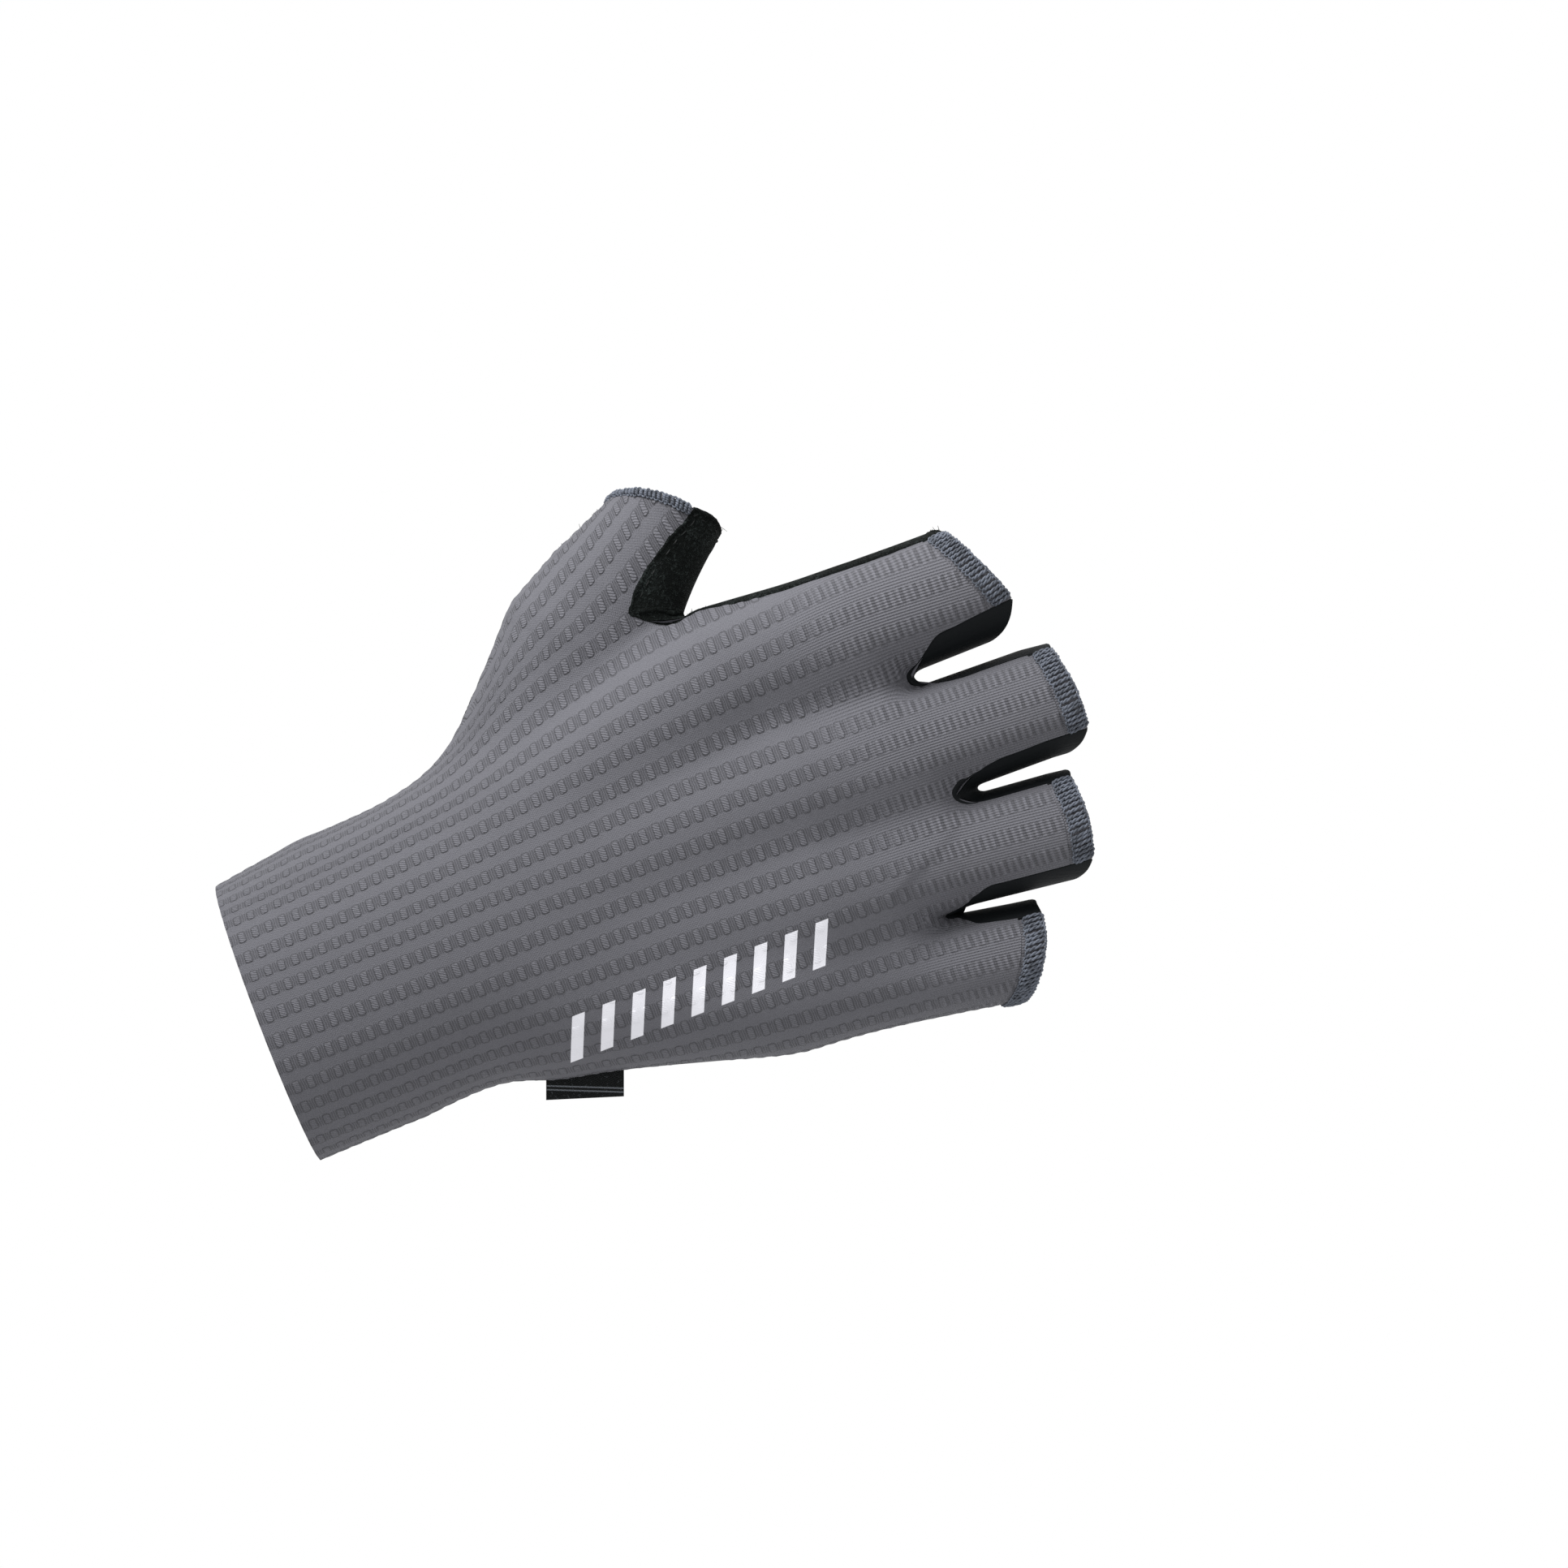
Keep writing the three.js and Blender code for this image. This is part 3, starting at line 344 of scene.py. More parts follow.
def rows_of(p):
    """Where points lie in the knit: along the rows and across them, in mm."""
    control = np.array(ROW_LEAN, float)
    rise = slope(p + unit(slope(p)) * lerp(ROW_LIFT, 0, smooth(p[:, 0], *LIFT_RUN))[:, None], ROW_BLUR)
    centre = lerp(*CUFF_CENTRE, smooth(p[:, 0], 0, 40))
    oval = np.arctan2(p[:, 2] - centre, -p[:, 1] / TUBES["forearm"][0])
    back = lerp(1 - smooth(np.abs(oval), *PALM_TURN), 1, smooth(p[:, 0], *PALM_RUN))
    turn = lerp(oval, np.arctan2(rise[:, 2], -rise[:, 1]), smooth(p[:, 0], *CUFF_RUN) * back)
    arc = lerp(CUFF_ARC, HAND_ARC, smooth(p[:, 0], *ARC_RUN) * back)
    round_side = 1 - smooth(np.abs(turn), *PALM_TURN)
    x = p[:, 0].copy()
    z = p[:, 2] + arc * (turn - np.sin(turn))
    along = np.zeros(len(p))
    # Each point is followed along its row to where the rows are evenly spaced
    for _ in range(60):
        near = 1 / ((x[:, None] - control[:, 0]) ** 2 + 2 * (z[:, None] - control[:, 1]) ** 2 + 30) ** 1.5
        lean = np.radians(near @ control[:, 2] / near.sum(1)) * round_side
        step = np.clip((ROW_BASE - x) / np.cos(lean), -2.5, 2.5)
        x = x + step * np.cos(lean)
        z = z + step * np.sin(lean)
        along -= step
        if np.abs(step).max() < 1e-4:
            break
    return along, z


def in_pad(along, across):
    """The distance to the nearest pad's edge, in mm, below zero inside it."""
    a = np.abs((across / ROW_SPACING) % 1 - 0.5) * ROW_SPACING
    b = np.abs((along / PAD_PITCH) % 1 - 0.5) * PAD_PITCH
    over = [np.maximum(v - h + PAD_CORNER, 0) for v, h in ((b, PAD_HALF[0]), (a, PAD_HALF[1]))]
    return np.hypot(*over) - PAD_CORNER


def tube(path, radius, sides, closed=False, flat=1.0, up=None):
    """The points and faces of a thread along a path; radius is one number or one for each point."""
    path = np.asarray(path, float)
    count = len(path)
    if closed:
        run = np.roll(path, -1, 0) - np.roll(path, 1, 0)
    else:
        run = np.gradient(path, axis=0)
    run = unit(run)
    side = np.cross(run, [0.31, 0.77, 0.56]) if up is None else np.cross(run, up)
    side = unit(side)
    other = np.cross(side, run)
    turn = np.arange(sides) / sides * 2 * np.pi
    radius = np.broadcast_to(radius, count)[:, None, None]
    across, over = np.cos(turn)[None, :, None], flat * np.sin(turn)[None, :, None]
    ring = across * side[:, None] + over * other[:, None]
    points = (path[:, None] + radius * ring).reshape(-1, 3)
    i = np.arange(count if closed else count - 1)[:, None] * sides
    j = np.arange(sides)[None]
    k = (j + 1) % sides
    ahead = (i + sides) % (count * sides)
    faces = np.stack([i + j, ahead + j, ahead + k, i + k], -1).reshape(-1, 4).tolist()
    if not closed:
        faces.append(list(range(sides)))
        faces.append([(count - 1) * sides + s for s in range(sides)][::-1])
    return points, faces


class Heap:
    """Many small meshes gathered into one."""

    def __init__(self):
        self.points, self.faces, self.count = [], [], 0

    def add(self, points, faces):
        self.points.append(points)
        self.faces += [[i + self.count for i in f] for f in faces]
        self.count += len(points)

    def whole(self):
        return np.concatenate(self.points), self.faces


def piece(name, points, faces, material, slot, stands_for=(), uv=None, marks=None):
    """A smooth mesh piece of the mitt, given in mm."""
    mesh = bpy.data.meshes.new(name)
    mesh.from_pydata((np.asarray(points) * MM).tolist(), [], [list(f) for f in faces])
    mesh.polygons.foreach_set("use_smooth", [True] * len(mesh.polygons))
    if uv is not None:
        corner = np.empty(len(mesh.loops), np.int32)
        mesh.loops.foreach_get("vertex_index", corner)
        layer = mesh.uv_layers.new(name="knit")
        layer.data.foreach_set("uv", uv[corner].astype(np.float32).ravel())
    for key, values in (marks or {}).items():
        mark = mesh.attributes.new(key, "FLOAT", "POINT")
        mark.data.foreach_set("value", np.asarray(values, np.float32))
    mesh.update()
    obj = bpy.data.objects.new(name, mesh)
    bpy.context.scene.collection.objects.link(obj)
    obj.data.materials.append(material)
    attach(obj, "root")
    if stands_for:
        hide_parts(*stands_for)


def linear(colour):
    """A hex colour as the eye's sRGB, turned to the linear light that the nodes take."""
    value = np.array([int(colour[i:i + 2], 16) for i in (1, 3, 5)]) / 255
    value = np.where(value <= 0.04045, value / 12.92, ((value + 0.055) / 1.055) ** 2.4)
    return (*value, 1)


def add(tree, kind, inputs=None, **settings):
    """Adds a node with its settings; an input is a number, a colour or another node's output."""
    node = tree.nodes.new(kind)
    for key, value in settings.items():
        setattr(node, key, value)
    for key, value in (inputs or {}).items():
        if isinstance(value, bpy.types.NodeSocket):
            tree.links.new(value, node.inputs[key])
        else:
            node.inputs[key].default_value = value
    return node


class Signal:
    """A number that a material's nodes carry, with arithmetic on it."""

    def __init__(self, tree, socket):
        self.tree, self.socket = tree, socket

    def do(self, operation, *others):
        values = [self.socket] + [o.socket if isinstance(o, Signal) else o for o in others]
        node = add(self.tree, "ShaderNodeMath", dict(enumerate(values)), operation=operation)
        return Signal(self.tree, node.outputs[0])

    def __add__(self, other):
        return self.do("ADD", other)

    def __sub__(self, other):
        return self.do("SUBTRACT", other)

    def __mul__(self, other):
        return self.do("MULTIPLY", other)

    def __truediv__(self, other):
        return self.do("DIVIDE", other)

    def size(self):
        return self.do("ABSOLUTE")

    def at_least(self, least):
        return self.do("MAXIMUM", least)

    def wave(self, pitch):
        return (self * (2 * np.pi / pitch)).do("SINE")

    def cell(self, pitch):
        """The distance to the middle of the cell that the number falls in."""
        return ((self / pitch).do("FRACT") - 0.5).size() * pitch

    def step(self, low, high):
        """Nought at low and one at high, with a soft passage between."""
        node = add(
            self.tree, "ShaderNodeMapRange", {"Value": self.socket, "From Min": low, "From Max": high},
            interpolation_type="SMOOTHSTEP",
        )
        return Signal(self.tree, node.outputs["Result"])


def noise(tree, scale, detail=2, roughness=0.5, vector=None):
    """Noise round nought, over the object's place or over another vector."""
    inputs = {"Scale": scale, "Detail": detail, "Roughness": roughness}
    inputs["Vector"] = vector or add(tree, "ShaderNodeTexCoord").outputs["Object"]
    return Signal(tree, add(tree, "ShaderNodeTexNoise", inputs).outputs[0]) - 0.5


def parts(tree, vector):
    """A vector's x, y and z."""
    node = add(tree, "ShaderNodeSeparateXYZ", {0: vector})
    return [Signal(tree, o) for o in node.outputs]


def relief(tree, shader, height):
    """Bump from a height in mm."""
    bump = add(tree, "ShaderNodeBump", {"Height": height.socket, "Strength": 1.0, "Distance": MM})
    tree.links.new(bump.outputs[0], shader.inputs["Normal"])


def new_material(name, roughness, sheen, colour, gloss=0.35):
    """An empty cloth or thread material; returns it, its tree and its principled shader."""
    material = bpy.data.materials.new(name)
    material.use_nodes = True
    tree = material.node_tree
    tree.nodes.clear()
    shader = add(tree, "ShaderNodeBsdfPrincipled", {
        "Base Color": linear(colour), "Roughness": roughness, "IOR": 1.5, "Specular IOR Level": gloss,
        "Sheen Weight": sheen, "Sheen Roughness": 0.45, "Sheen Tint": linear(colour),
    })
    add(tree, "ShaderNodeOutputMaterial", {"Surface": shader.outputs[0]})
    return material, tree, shader


def mix(tree, share, one, other):
    """A colour between two colours."""
    node = add(tree, "ShaderNodeMix", {"Factor": share.socket}, data_type="RGBA")
    for socket, value in ((node.inputs[6], one), (node.inputs[7], other)):
        if isinstance(value, bpy.types.NodeSocket):
            tree.links.new(value, socket)
        else:
            socket.default_value = value
    return node.outputs[2]


def knit_material(colours):
    """Warp-knitted polyester and elastane with an embossed jacquard: rows of small pads of slanted
    stitches, two thin ridges between pads, and plain mesh between the rows. Dry matt yarn."""
    material, tree, shader = new_material("polyester_jacquard_knit", 0.78, 0.12, colours.cloth)
    knit = add(tree, "ShaderNodeUVMap", uv_map="knit").outputs[0]
    along, across, _ = parts(tree, knit)
    stretch = Signal(tree, add(tree, "ShaderNodeAttribute", attribute_name="stretch").outputs["Fac"])
    fine = noise(tree, 4.6, 3, 0.65, knit)
    coarse = noise(tree, 0.9, 2, 0.5, knit)
    along_pad = along + coarse * 0.35
    across_pad = across + noise(tree, 1.3, 2, 0.5, knit) * 0.3
    a, b = across_pad.cell(ROW_SPACING), along_pad.cell(PAD_PITCH)
    over = [(v - (h - PAD_CORNER)).at_least(0) for v, h in ((a, PAD_HALF[1]), (b, PAD_HALF[0]))]
    edge = (over[0] * over[0] + over[1] * over[1]).do("SQRT") - PAD_CORNER + fine * 0.25
    pad = edge.step(0.16, -0.2)
    rim = (edge - 0.02).size().step(0.24, 0.0)
    in_row = a.step(PAD_HALF[1] + 0.2, PAD_HALF[1] - 0.25)
    slit = in_row * (b - 1.18).size().step(0.15, 0.03)
    hatch = (along_pad * 0.75 + across_pad + fine * 0.12).wave(0.55)
    strokes = hatch * edge.step(0.1, -0.15)
    # The plain mesh's real stitches, about 0.35 mm apart, are drawn at 0.5 to 0.6 mm so that they show
    mesh = along.wave(0.6) * across.wave(0.5)
    plain = in_row * -1 + 1
    ribs = stretch * (across + fine * 0.12).wave(0.5)
    loose = stretch * -0.65 + 1
    rungs = in_row * stretch * along_pad.wave(PAD_PITCH / 2)
    height = (pad * 0.16 - slit * 0.14 - rim * 0.12 + strokes * 0.06) * loose
    height = height + mesh * plain * 0.03 + rungs * 0.07
    ink = printed(*parts(tree, add(tree, "ShaderNodeTexCoord").outputs["Object"]))
    height = (height + ribs * 0.09 + fine * 0.2) * (ink * -0.75 + 1)
    relief(tree, shader, height + ink * 0.06)
    # Painted shade: the colour is darkened in the grooves round each pad (rim) and in the slits between
    # pads, and the hatch, rungs and ribs are painted lighter and darker along their relief; the fine noise
    # is the yarn's own uneven tone.
    shade = (slit * 0.3 + rim * 0.4 - strokes * 0.2 - pad * 0.02) * loose
    shade = shade - rungs * 0.28 + fine * 0.9 - ribs * 0.14
    cloth = mix(tree, shade + 0.25, linear(colours.cloth), linear(colours.cloth_shade_and_tone))
    cloth = mix(tree, ink, cloth, linear(colours.ink))
    tree.links.new(cloth, shader.inputs["Base Color"])
    return material


def printed(x, y, z):
    """One inside the slanted bars of the screen print, nought elsewhere."""
    length, soft = PRINT["end"] - PRINT["start"], 0.12
    up = z / MM - PRINT["low"]
    slid = x / MM - PRINT["start"] - up * PRINT["slant"]
    bar = (slid / PRINT["pitch"]).do("FRACT") * PRINT["pitch"]
    inside = bar.step(PRINT["bar"] + soft, PRINT["bar"]) * bar.step(0, soft)
    inside = inside * up.step(0, soft) * up.step(PRINT["height"], PRINT["height"] - soft)
    return inside * slid.step(0, soft) * slid.step(length, length - soft) * y.step(0, -MM)


def suede_material(colours):
    """Microfibre suede: very short brushed pile, matt, soft light at its edges."""
    material, tree, shader = new_material("microfibre_suede", 0.95, 0.06, colours.suede, 0.08)
    # The real pile, under 0.1 mm, is drawn in grains of 0.3 and 0.7 mm, the finest that show
    pile = noise(tree, 3600, 3, 0.7)
    tufts = noise(tree, 1500, 3, 0.65)
    nap = noise(tree, 150, 2)
    relief(tree, shader, pile * 0.5 + tufts * 1.1 + nap * 0.5)
    shade = (tufts + nap * 0.4 + pile).step(0.0, 0.3)
    tree.links.new(mix(tree, shade, linear(colours.suede), linear(colours.suede_worn)),
                   shader.inputs["Base Color"])
    return material


def strip_material(colours):
    """Two-way stretch fabric of fine polyamide and elastane: smooth, with a faint satin light."""
    material, tree, shader = new_material("polyamide_stretch_fabric", 0.7, 0.04, colours.strip, 0.12)
    _, y, z = parts(tree, add(tree, "ShaderNodeTexCoord").outputs["Object"])
    # The real knit's 0.3 mm rib is drawn at 0.45 mm, the finest that the picture can hold.
    rib = ((y + z) / MM).wave(0.45)
    relief(tree, shader, rib * 0.012 + noise(tree, 900) * 0.08)
    return material


def thread_material(name, colour, roughness, sheen):
    """Spun polyester thread: fine fibres twisted round, a little light along each turn."""
    material, tree, shader = new_material(name, roughness, sheen, colour)
    relief(tree, shader, noise(tree, 1800) * 0.12)
    dark = tuple(c * 0.55 for c in linear(colour)[:3]) + (1,)
    shade = noise(tree, 600).step(0.12, -0.15)
    tree.links.new(mix(tree, shade, linear(colour), dark), shader.inputs["Base Color"])
    return material


def layers(name):
    """A cloth node's points, its outer triangles, and its rim and inner triangles."""
    p, triangles = cad_mesh(name)
    outer = (np.abs(form(p)) < ON_FORM)[triangles].all(1)
    return p, triangles[outer], triangles[~outer]


def unfolded(p, triangles, rim):
    """The points with the outer layer evened out where it folds over itself, its rim kept."""
    p = p.copy()
    edges = np.concatenate([triangles[:, [0, 1]], triangles[:, [1, 2]], triangles[:, [2, 0]]])
    for _ in range(60):
        a, b, c = (p[triangles[:, k]] for k in range(3))
        facing = np.sum(np.cross(b - a, c - a) * slope((a + b + c) / 3), 1)
        loose = np.setdiff1d(triangles[facing < 0], rim)
        if not len(loose):
            break
        total, count = np.zeros_like(p), np.zeros((len(p), 1))
        np.add.at(total, edges[:, 0], p[edges[:, 1]])
        np.add.at(count, edges[:, 0], 1)
        p[loose] = settle(total[loose] / count[loose])
    return p


def cloth(name, fine):
    """The refined outer layer of a cloth node, settled on the form, and its refined rest."""
    p, outer, rest = layers(name)
    p = p.copy()
    used = np.unique(outer)
    level = np.full(len(p), -CLOTH)
    level[used] = 0
    p = drawn_over(p, level)
    p[used] = settle(p[used])
    chains = loops(outer)
    p = unfolded(p, outer, np.concatenate(chains))
    top, faces = refine(p, outer, fine, chains)
    top = rounded_webs(settle(top, rounds=3))
    at_rim = np.isin(rest, used).any(1)
    rim, lining = refine(p, rest[at_rim], LINING_CUTS, chains), refine(p, rest[~at_rim], LINING_CUTS)
    under = np.concatenate([rim[0], settle(lining[0], -CLOTH, rounds=4)])
    inside = under, np.concatenate([rim[1], lining[1] + len(rim[0])])
    return top, faces, inside, [p[c] for c in chains]


def joined(top, faces, inside):
    """The points and faces of both layers in one."""
    return np.concatenate([top, inside[0]]), faces.tolist() + (inside[1] + len(top)).tolist()


class MittSizes(bpy.types.PropertyGroup):
    pad_rise: bpy.props.FloatProperty(
        name="Pad rise", description="How far the knit's pads stand up", default=0.12 * MM, unit="LENGTH")
    hem_pitch: bpy.props.FloatProperty(
        name="Hem pitch", description="From one wrap of the hem's thread to the next",
        default=0.9 * MM, unit="LENGTH")
    hem_thread: bpy.props.FloatProperty(
        name="Hem thread", description="Radius of the hem's thread", default=0.36 * MM, unit="LENGTH")
    view_width: bpy.props.FloatProperty(
        name="View width", description="Width of the picture at the mitt", default=302 * MM, unit="LENGTH")


class MittColours(bpy.types.PropertyGroup):
    cloth: bpy.props.StringProperty(name="Knit", description="Grey of the knit", default="#5e5e64")
    # The knit's darker grey: painted shade in the grooves round and between the pads, and the yarn's
    # uneven tone.
    cloth_shade_and_tone: bpy.props.StringProperty(
        name="Knit, sunk", description="Grey in the knit's grooves", default="#262629")
    suede: bpy.props.StringProperty(name="Suede", description="Black of the suede", default="#0e1110")
    suede_worn: bpy.props.StringProperty(
        name="Suede, brushed", description="Suede where its pile is brushed up", default="#2e3433")
    strip: bpy.props.StringProperty(name="Strip", description="Black of the strips", default="#0b0e10")
    thread: bpy.props.StringProperty(name="Hem thread", description="Blue-grey", default="#555a64")
    ink: bpy.props.StringProperty(name="Print", description="White of the print", default="#cdcdd3")
    label_line: bpy.props.StringProperty(
        name="Label line", description="Pale yarn woven into the label", default="#70747a")
    label: bpy.props.StringProperty(name="Label", description="Black of the label", default="#0c0e0f")


def kept(name, maker):
    """The named material, made the first time that it is asked for."""
    return bpy.data.materials.get(name) or maker(colours())


def sizes():
    return bpy.context.scene.mitt_sizes


def colours():
    return bpy.context.scene.mitt_colours


class MITT_OT_back_cloth(bpy.types.Operator):
    """Knitted back, one tube at the cuff"""
    bl_idname = "mitt.back_cloth"
    bl_label = "Back cloth"

    def execute(self, context):
        top, faces, inside, _ = cloth("back_panel", 9)
        along, across = rows_of(top)
        stretch = smooth(top[:, 0], 112, 138)  # the knit is drawn out more and more along the fingers
        rise = smooth(in_pad(along, across), *PAD_SLOPE) * sizes().pad_rise / MM
        top = top + unit(slope(top)) * rise[:, None]
        points, faces = joined(top, faces, inside)
        extra = len(points) - len(top)
        uv = np.concatenate([np.stack([along, across], 1), np.zeros((extra, 2))])
        stretch = np.concatenate([stretch, np.zeros(extra)])
        piece(
            "back_cloth", points, faces, kept("polyester_jacquard_knit", knit_material), "back_knit",
            ["back_panel"], uv=uv, marks={"stretch": stretch},
        )
        return {"FINISHED"}


def plain_cloth(node, name, material, slot, fine, swell=0.0):
    """A cloth piece without a pattern, its outer face swollen a little here and there; returns its rim."""
    top, faces, inside, chains = cloth(node, fine)
    if swell:
        rng = np.random.default_rng(SEED)
        waves = rng.normal(size=(6, 3)) * 0.35
        lumps = sum(np.sin(top @ w + i) for i, w in enumerate(waves)) / len(waves)
        top = top + unit(slope(top)) * (lumps * swell)[:, None]
    points, faces = joined(top, faces, inside)
    piece(name, points, faces, material, slot, [node])
    return chains


class MITT_OT_palm(bpy.types.Operator):
    """Suede palm and the suede on the thumb, each with its rolled edge"""
    bl_idname = "mitt.suede"
    bl_label = "Suede"

    def execute(self, context):
        material = kept("microfibre_suede", suede_material)
        palm = plain_cloth("palm_panel", "palm_suede_cloth", material, "palm_suede", 6, PALM_SWELL)
        thumb = plain_cloth("thumb_panel", "thumb_suede_cloth", material, "thumb_suede", 8, THUMB_SWELL)
        rng = np.random.default_rng(SEED)
        for name, slot, chains, radius in (("palm_rolled_edge", "palm_suede", palm, PALM_EDGE),
                                           ("thumb_rolled_edge", "thumb_suede", thumb, THUMB_EDGE)):
            heap = Heap()
            for chain in chains:
                path = spread(chain, EDGE_STEP)
                high = smooth(path[:, 2], *EDGE_RUN)
                thick = lerp(LOW_EDGE, radius, high)
                path = path - unit(slope(path)) * lerp(LOW_SINK, HIGH_SINK, high)[:, None]
                lumps = np.convolve(rng.normal(size=len(path)), np.ones(5) / 3, "same")
                heap.add(*tube(path, thick * (1 + 0.15 * np.clip(lumps, -1.5, 1.5)), 10, closed=True))
            piece(name, *heap.whole(), material, slot)
        return {"FINISHED"}


def spread(chain, step):
    """Even points along a closed chain, on a smooth curve."""
    chain = np.asarray(chain)
    fine = np.stack([bend(chain, np.arange(len(chain)), t) for t in np.arange(8) / 8], 1).reshape(-1, 3)
    run = np.append(0, np.cumsum(np.linalg.norm(np.diff(fine, axis=0, append=fine[:1]), axis=1)))
    count = max(12, int(run[-1] / step))
    wanted = np.arange(count) / count * run[-1]
    loop = np.concatenate([fine, fine[:1]])
    even = np.stack([np.interp(wanted, run, loop[:, k]) for k in range(3)], 1)
    return rounded_webs(settle(even))


class MITT_OT_stitches(bpy.types.Operator):
    """The sewn line inside the thumb suede's edge and the loose fibres of its pile"""
    bl_idname = "mitt.stitches"
    bl_label = "Stitches and fibres"

    def execute(self, context):
        rng = np.random.default_rng(SEED)
        heap = Heap()
        chain = cloth("thumb_panel", 1)[3][0]
        path = spread(chain, STITCH_STEP)
        normal = unit(slope(path))
        inward = np.cross(normal, unit(np.roll(path, -1, 0) - np.roll(path, 1, 0)))
        line = settle(path + inward * STITCH_INSET, rounds=3)
        for start in range(0, len(line) - STITCH_POINTS - 1, STITCH_PITCH):
            dash = line[start:start + STITCH_POINTS].copy()
            if dash[STITCH_POINTS // 2, 2] < STITCH_FOOT:
                continue
            arch = np.array(STITCH_ARCH) + rng.normal() * 0.04
            dash += unit(slope(dash)) * arch[:, None] + rng.normal(size=3) * 0.08
            heap.add(*tube(dash, STITCH_RADIUS, 6))
        thread = thread_material("sewing_thread", "#101313", 0.8, 0.02)
        piece("thumb_stitches", *heap.whole(), thread, "thumb_suede")
        heap = Heap()
        edges = [(path, THUMB_FIBRES)]
        edges += [(spread(c, EDGE_STEP), PALM_FIBRES) for c in cloth("palm_panel", 1)[3]]
        for edge, count in edges:
            edge = edge[(edge[:, 0] > FIBRES_FROM[0]) & (edge[:, 2] > FIBRES_FROM[1])]
            roots = edge[rng.integers(0, len(edge), count)]
            out = unit(slope(roots))
            way = unit(out * 0.7 + rng.normal(size=out.shape) * 0.6)
            curl = rng.normal(size=out.shape)
            length = rng.uniform(*FIBRE_LENGTH, len(roots))
            for root, heading, turn, size in zip(roots + out * 0.1, way, curl, length):
                t = np.linspace(0, 1, 4)[:, None]
                hair = root + heading * size * t + turn * size * 0.45 * t**2
                heap.add(*tube(hair, FIBRE_RADIUS * (1.1 - t[:, 0] * 0.6), 4))
        suede = kept("microfibre_suede", suede_material)
        piece("suede_fibres", *heap.whole(), suede, "palm_suede")
        return {"FINISHED"}


class MITT_OT_strips(bpy.types.Operator):
    """Stretch strips between the fingers"""
    bl_idname = "mitt.strips"
    bl_label = "Finger strips"

    def execute(self, context):
        material = strip_material(colours())
        for name, flat, area in (
            ("ring_little", (0.016, 0.042), 0.00050),
            ("middle_ring", (0.016, 0.046), 0.00056),
            ("index_middle", (0.016, 0.050), 0.00060),
        ):
            chains = plain_cloth("fourchette_" + name, "strip_" + name, material, "stretch_strips", 7)
            heap = Heap()
            for chain in chains:
                path = spread(chain, EDGE_STEP)
                # The edge is turned over widest, and runs round, at the web on the back
                web = path[np.argmin(path[:, 0] + 100 * (path[:, 1] > 0))]
                share = np.exp(-np.sum((path - web) ** 2, 1) / WEB_REACH**2)[:, None]
                for _ in range(12):
                    path = lerp(path, (np.roll(path, 1, 0) + np.roll(path, -1, 0)) / 2, share * 0.8)
                path = path - share * (WEB_BACK, 0, 0)
                up = unit(slope(path))
                width = lerp(STRIP_EDGE, WEB_EDGE, share[:, 0])
                heap.add(*tube(path - up * 0.25, width, 10, closed=True, flat=0.6, up=up))
            piece("strip_edge_" + name, *heap.whole(), material, "stretch_strips")
        return {"FINISHED"}


class MITT_OT_hems(bpy.types.Operator):
    """Overlocked hems of wrapped thread"""
    bl_idname = "mitt.hems"
    bl_label = "Hems"

    def execute(self, context):
        material = thread_material("overlock_thread", colours().thread, 0.7, 0.2)
        knit = kept("polyester_jacquard_knit", knit_material)
        for node, tube_name in (("hem_little", "little"), ("hem_ring", "ring"), ("hem_middle", "middle"),
                                ("hem_index", "index"), ("hem_thumb", "thumb")):
            threads, bed = hem(node, tube_name)
            uv = np.stack(rows_of(bed.points[0]), 1)
            uv = np.concatenate([uv] + [np.zeros((len(p), 2)) for p in bed.points[1:]])
            marks = {"stretch": np.ones(bed.count)}
            piece(node + "_cloth", *bed.whole(), knit, "back_knit", uv=uv, marks=marks)
            piece(node + "_thread", *threads.whole(), material, "hem_thread", [node])
        return {"FINISHED"}


def hem_lines(node, name):
    """The hem's start and end across the finger, as matching rows of points on the form."""
    p, _ = cad_mesh(node)
    p = p[form(p) > -0.15]
    rows = np.array(TUBES[name][1], float)
    axis = unit(rows[-1, :3] - rows[-2, :3])
    out = unit(np.cross(axis, [0, 1, 0]))
    out = out if out[2] > 0 else -out
    centre = np.stack([np.interp(p[:, 0], rows[:, 0], rows[:, k]) for k in (0, 1, 2)], 1)
    to = p - centre
    angle = np.arctan2(to @ out, -to[:, 1])
    order = np.argsort(angle)
    pairs = order[: len(order) // 2 * 2].reshape(-1, 2)
    reach = p @ axis
    start = np.array([p[a] if reach[a] < reach[b] else p[b] for a, b in pairs])
    end = np.array([p[b] if reach[a] < reach[b] else p[a] for a, b in pairs])
    return settle(start, rounds=4), settle(end, rounds=4)


def curve(points, at):
    """Places on a smooth curve through points, at running numbers from 0 to the last one's."""
    points, at = np.asarray(points, float), np.clip(at, 0, len(points) - 1)
    ahead = np.gradient(points, axis=0)
    i = np.minimum(at.astype(int), len(points) - 2)
    return hermite(points[i], points[i + 1], ahead[i], ahead[i + 1], (at - i)[:, None])


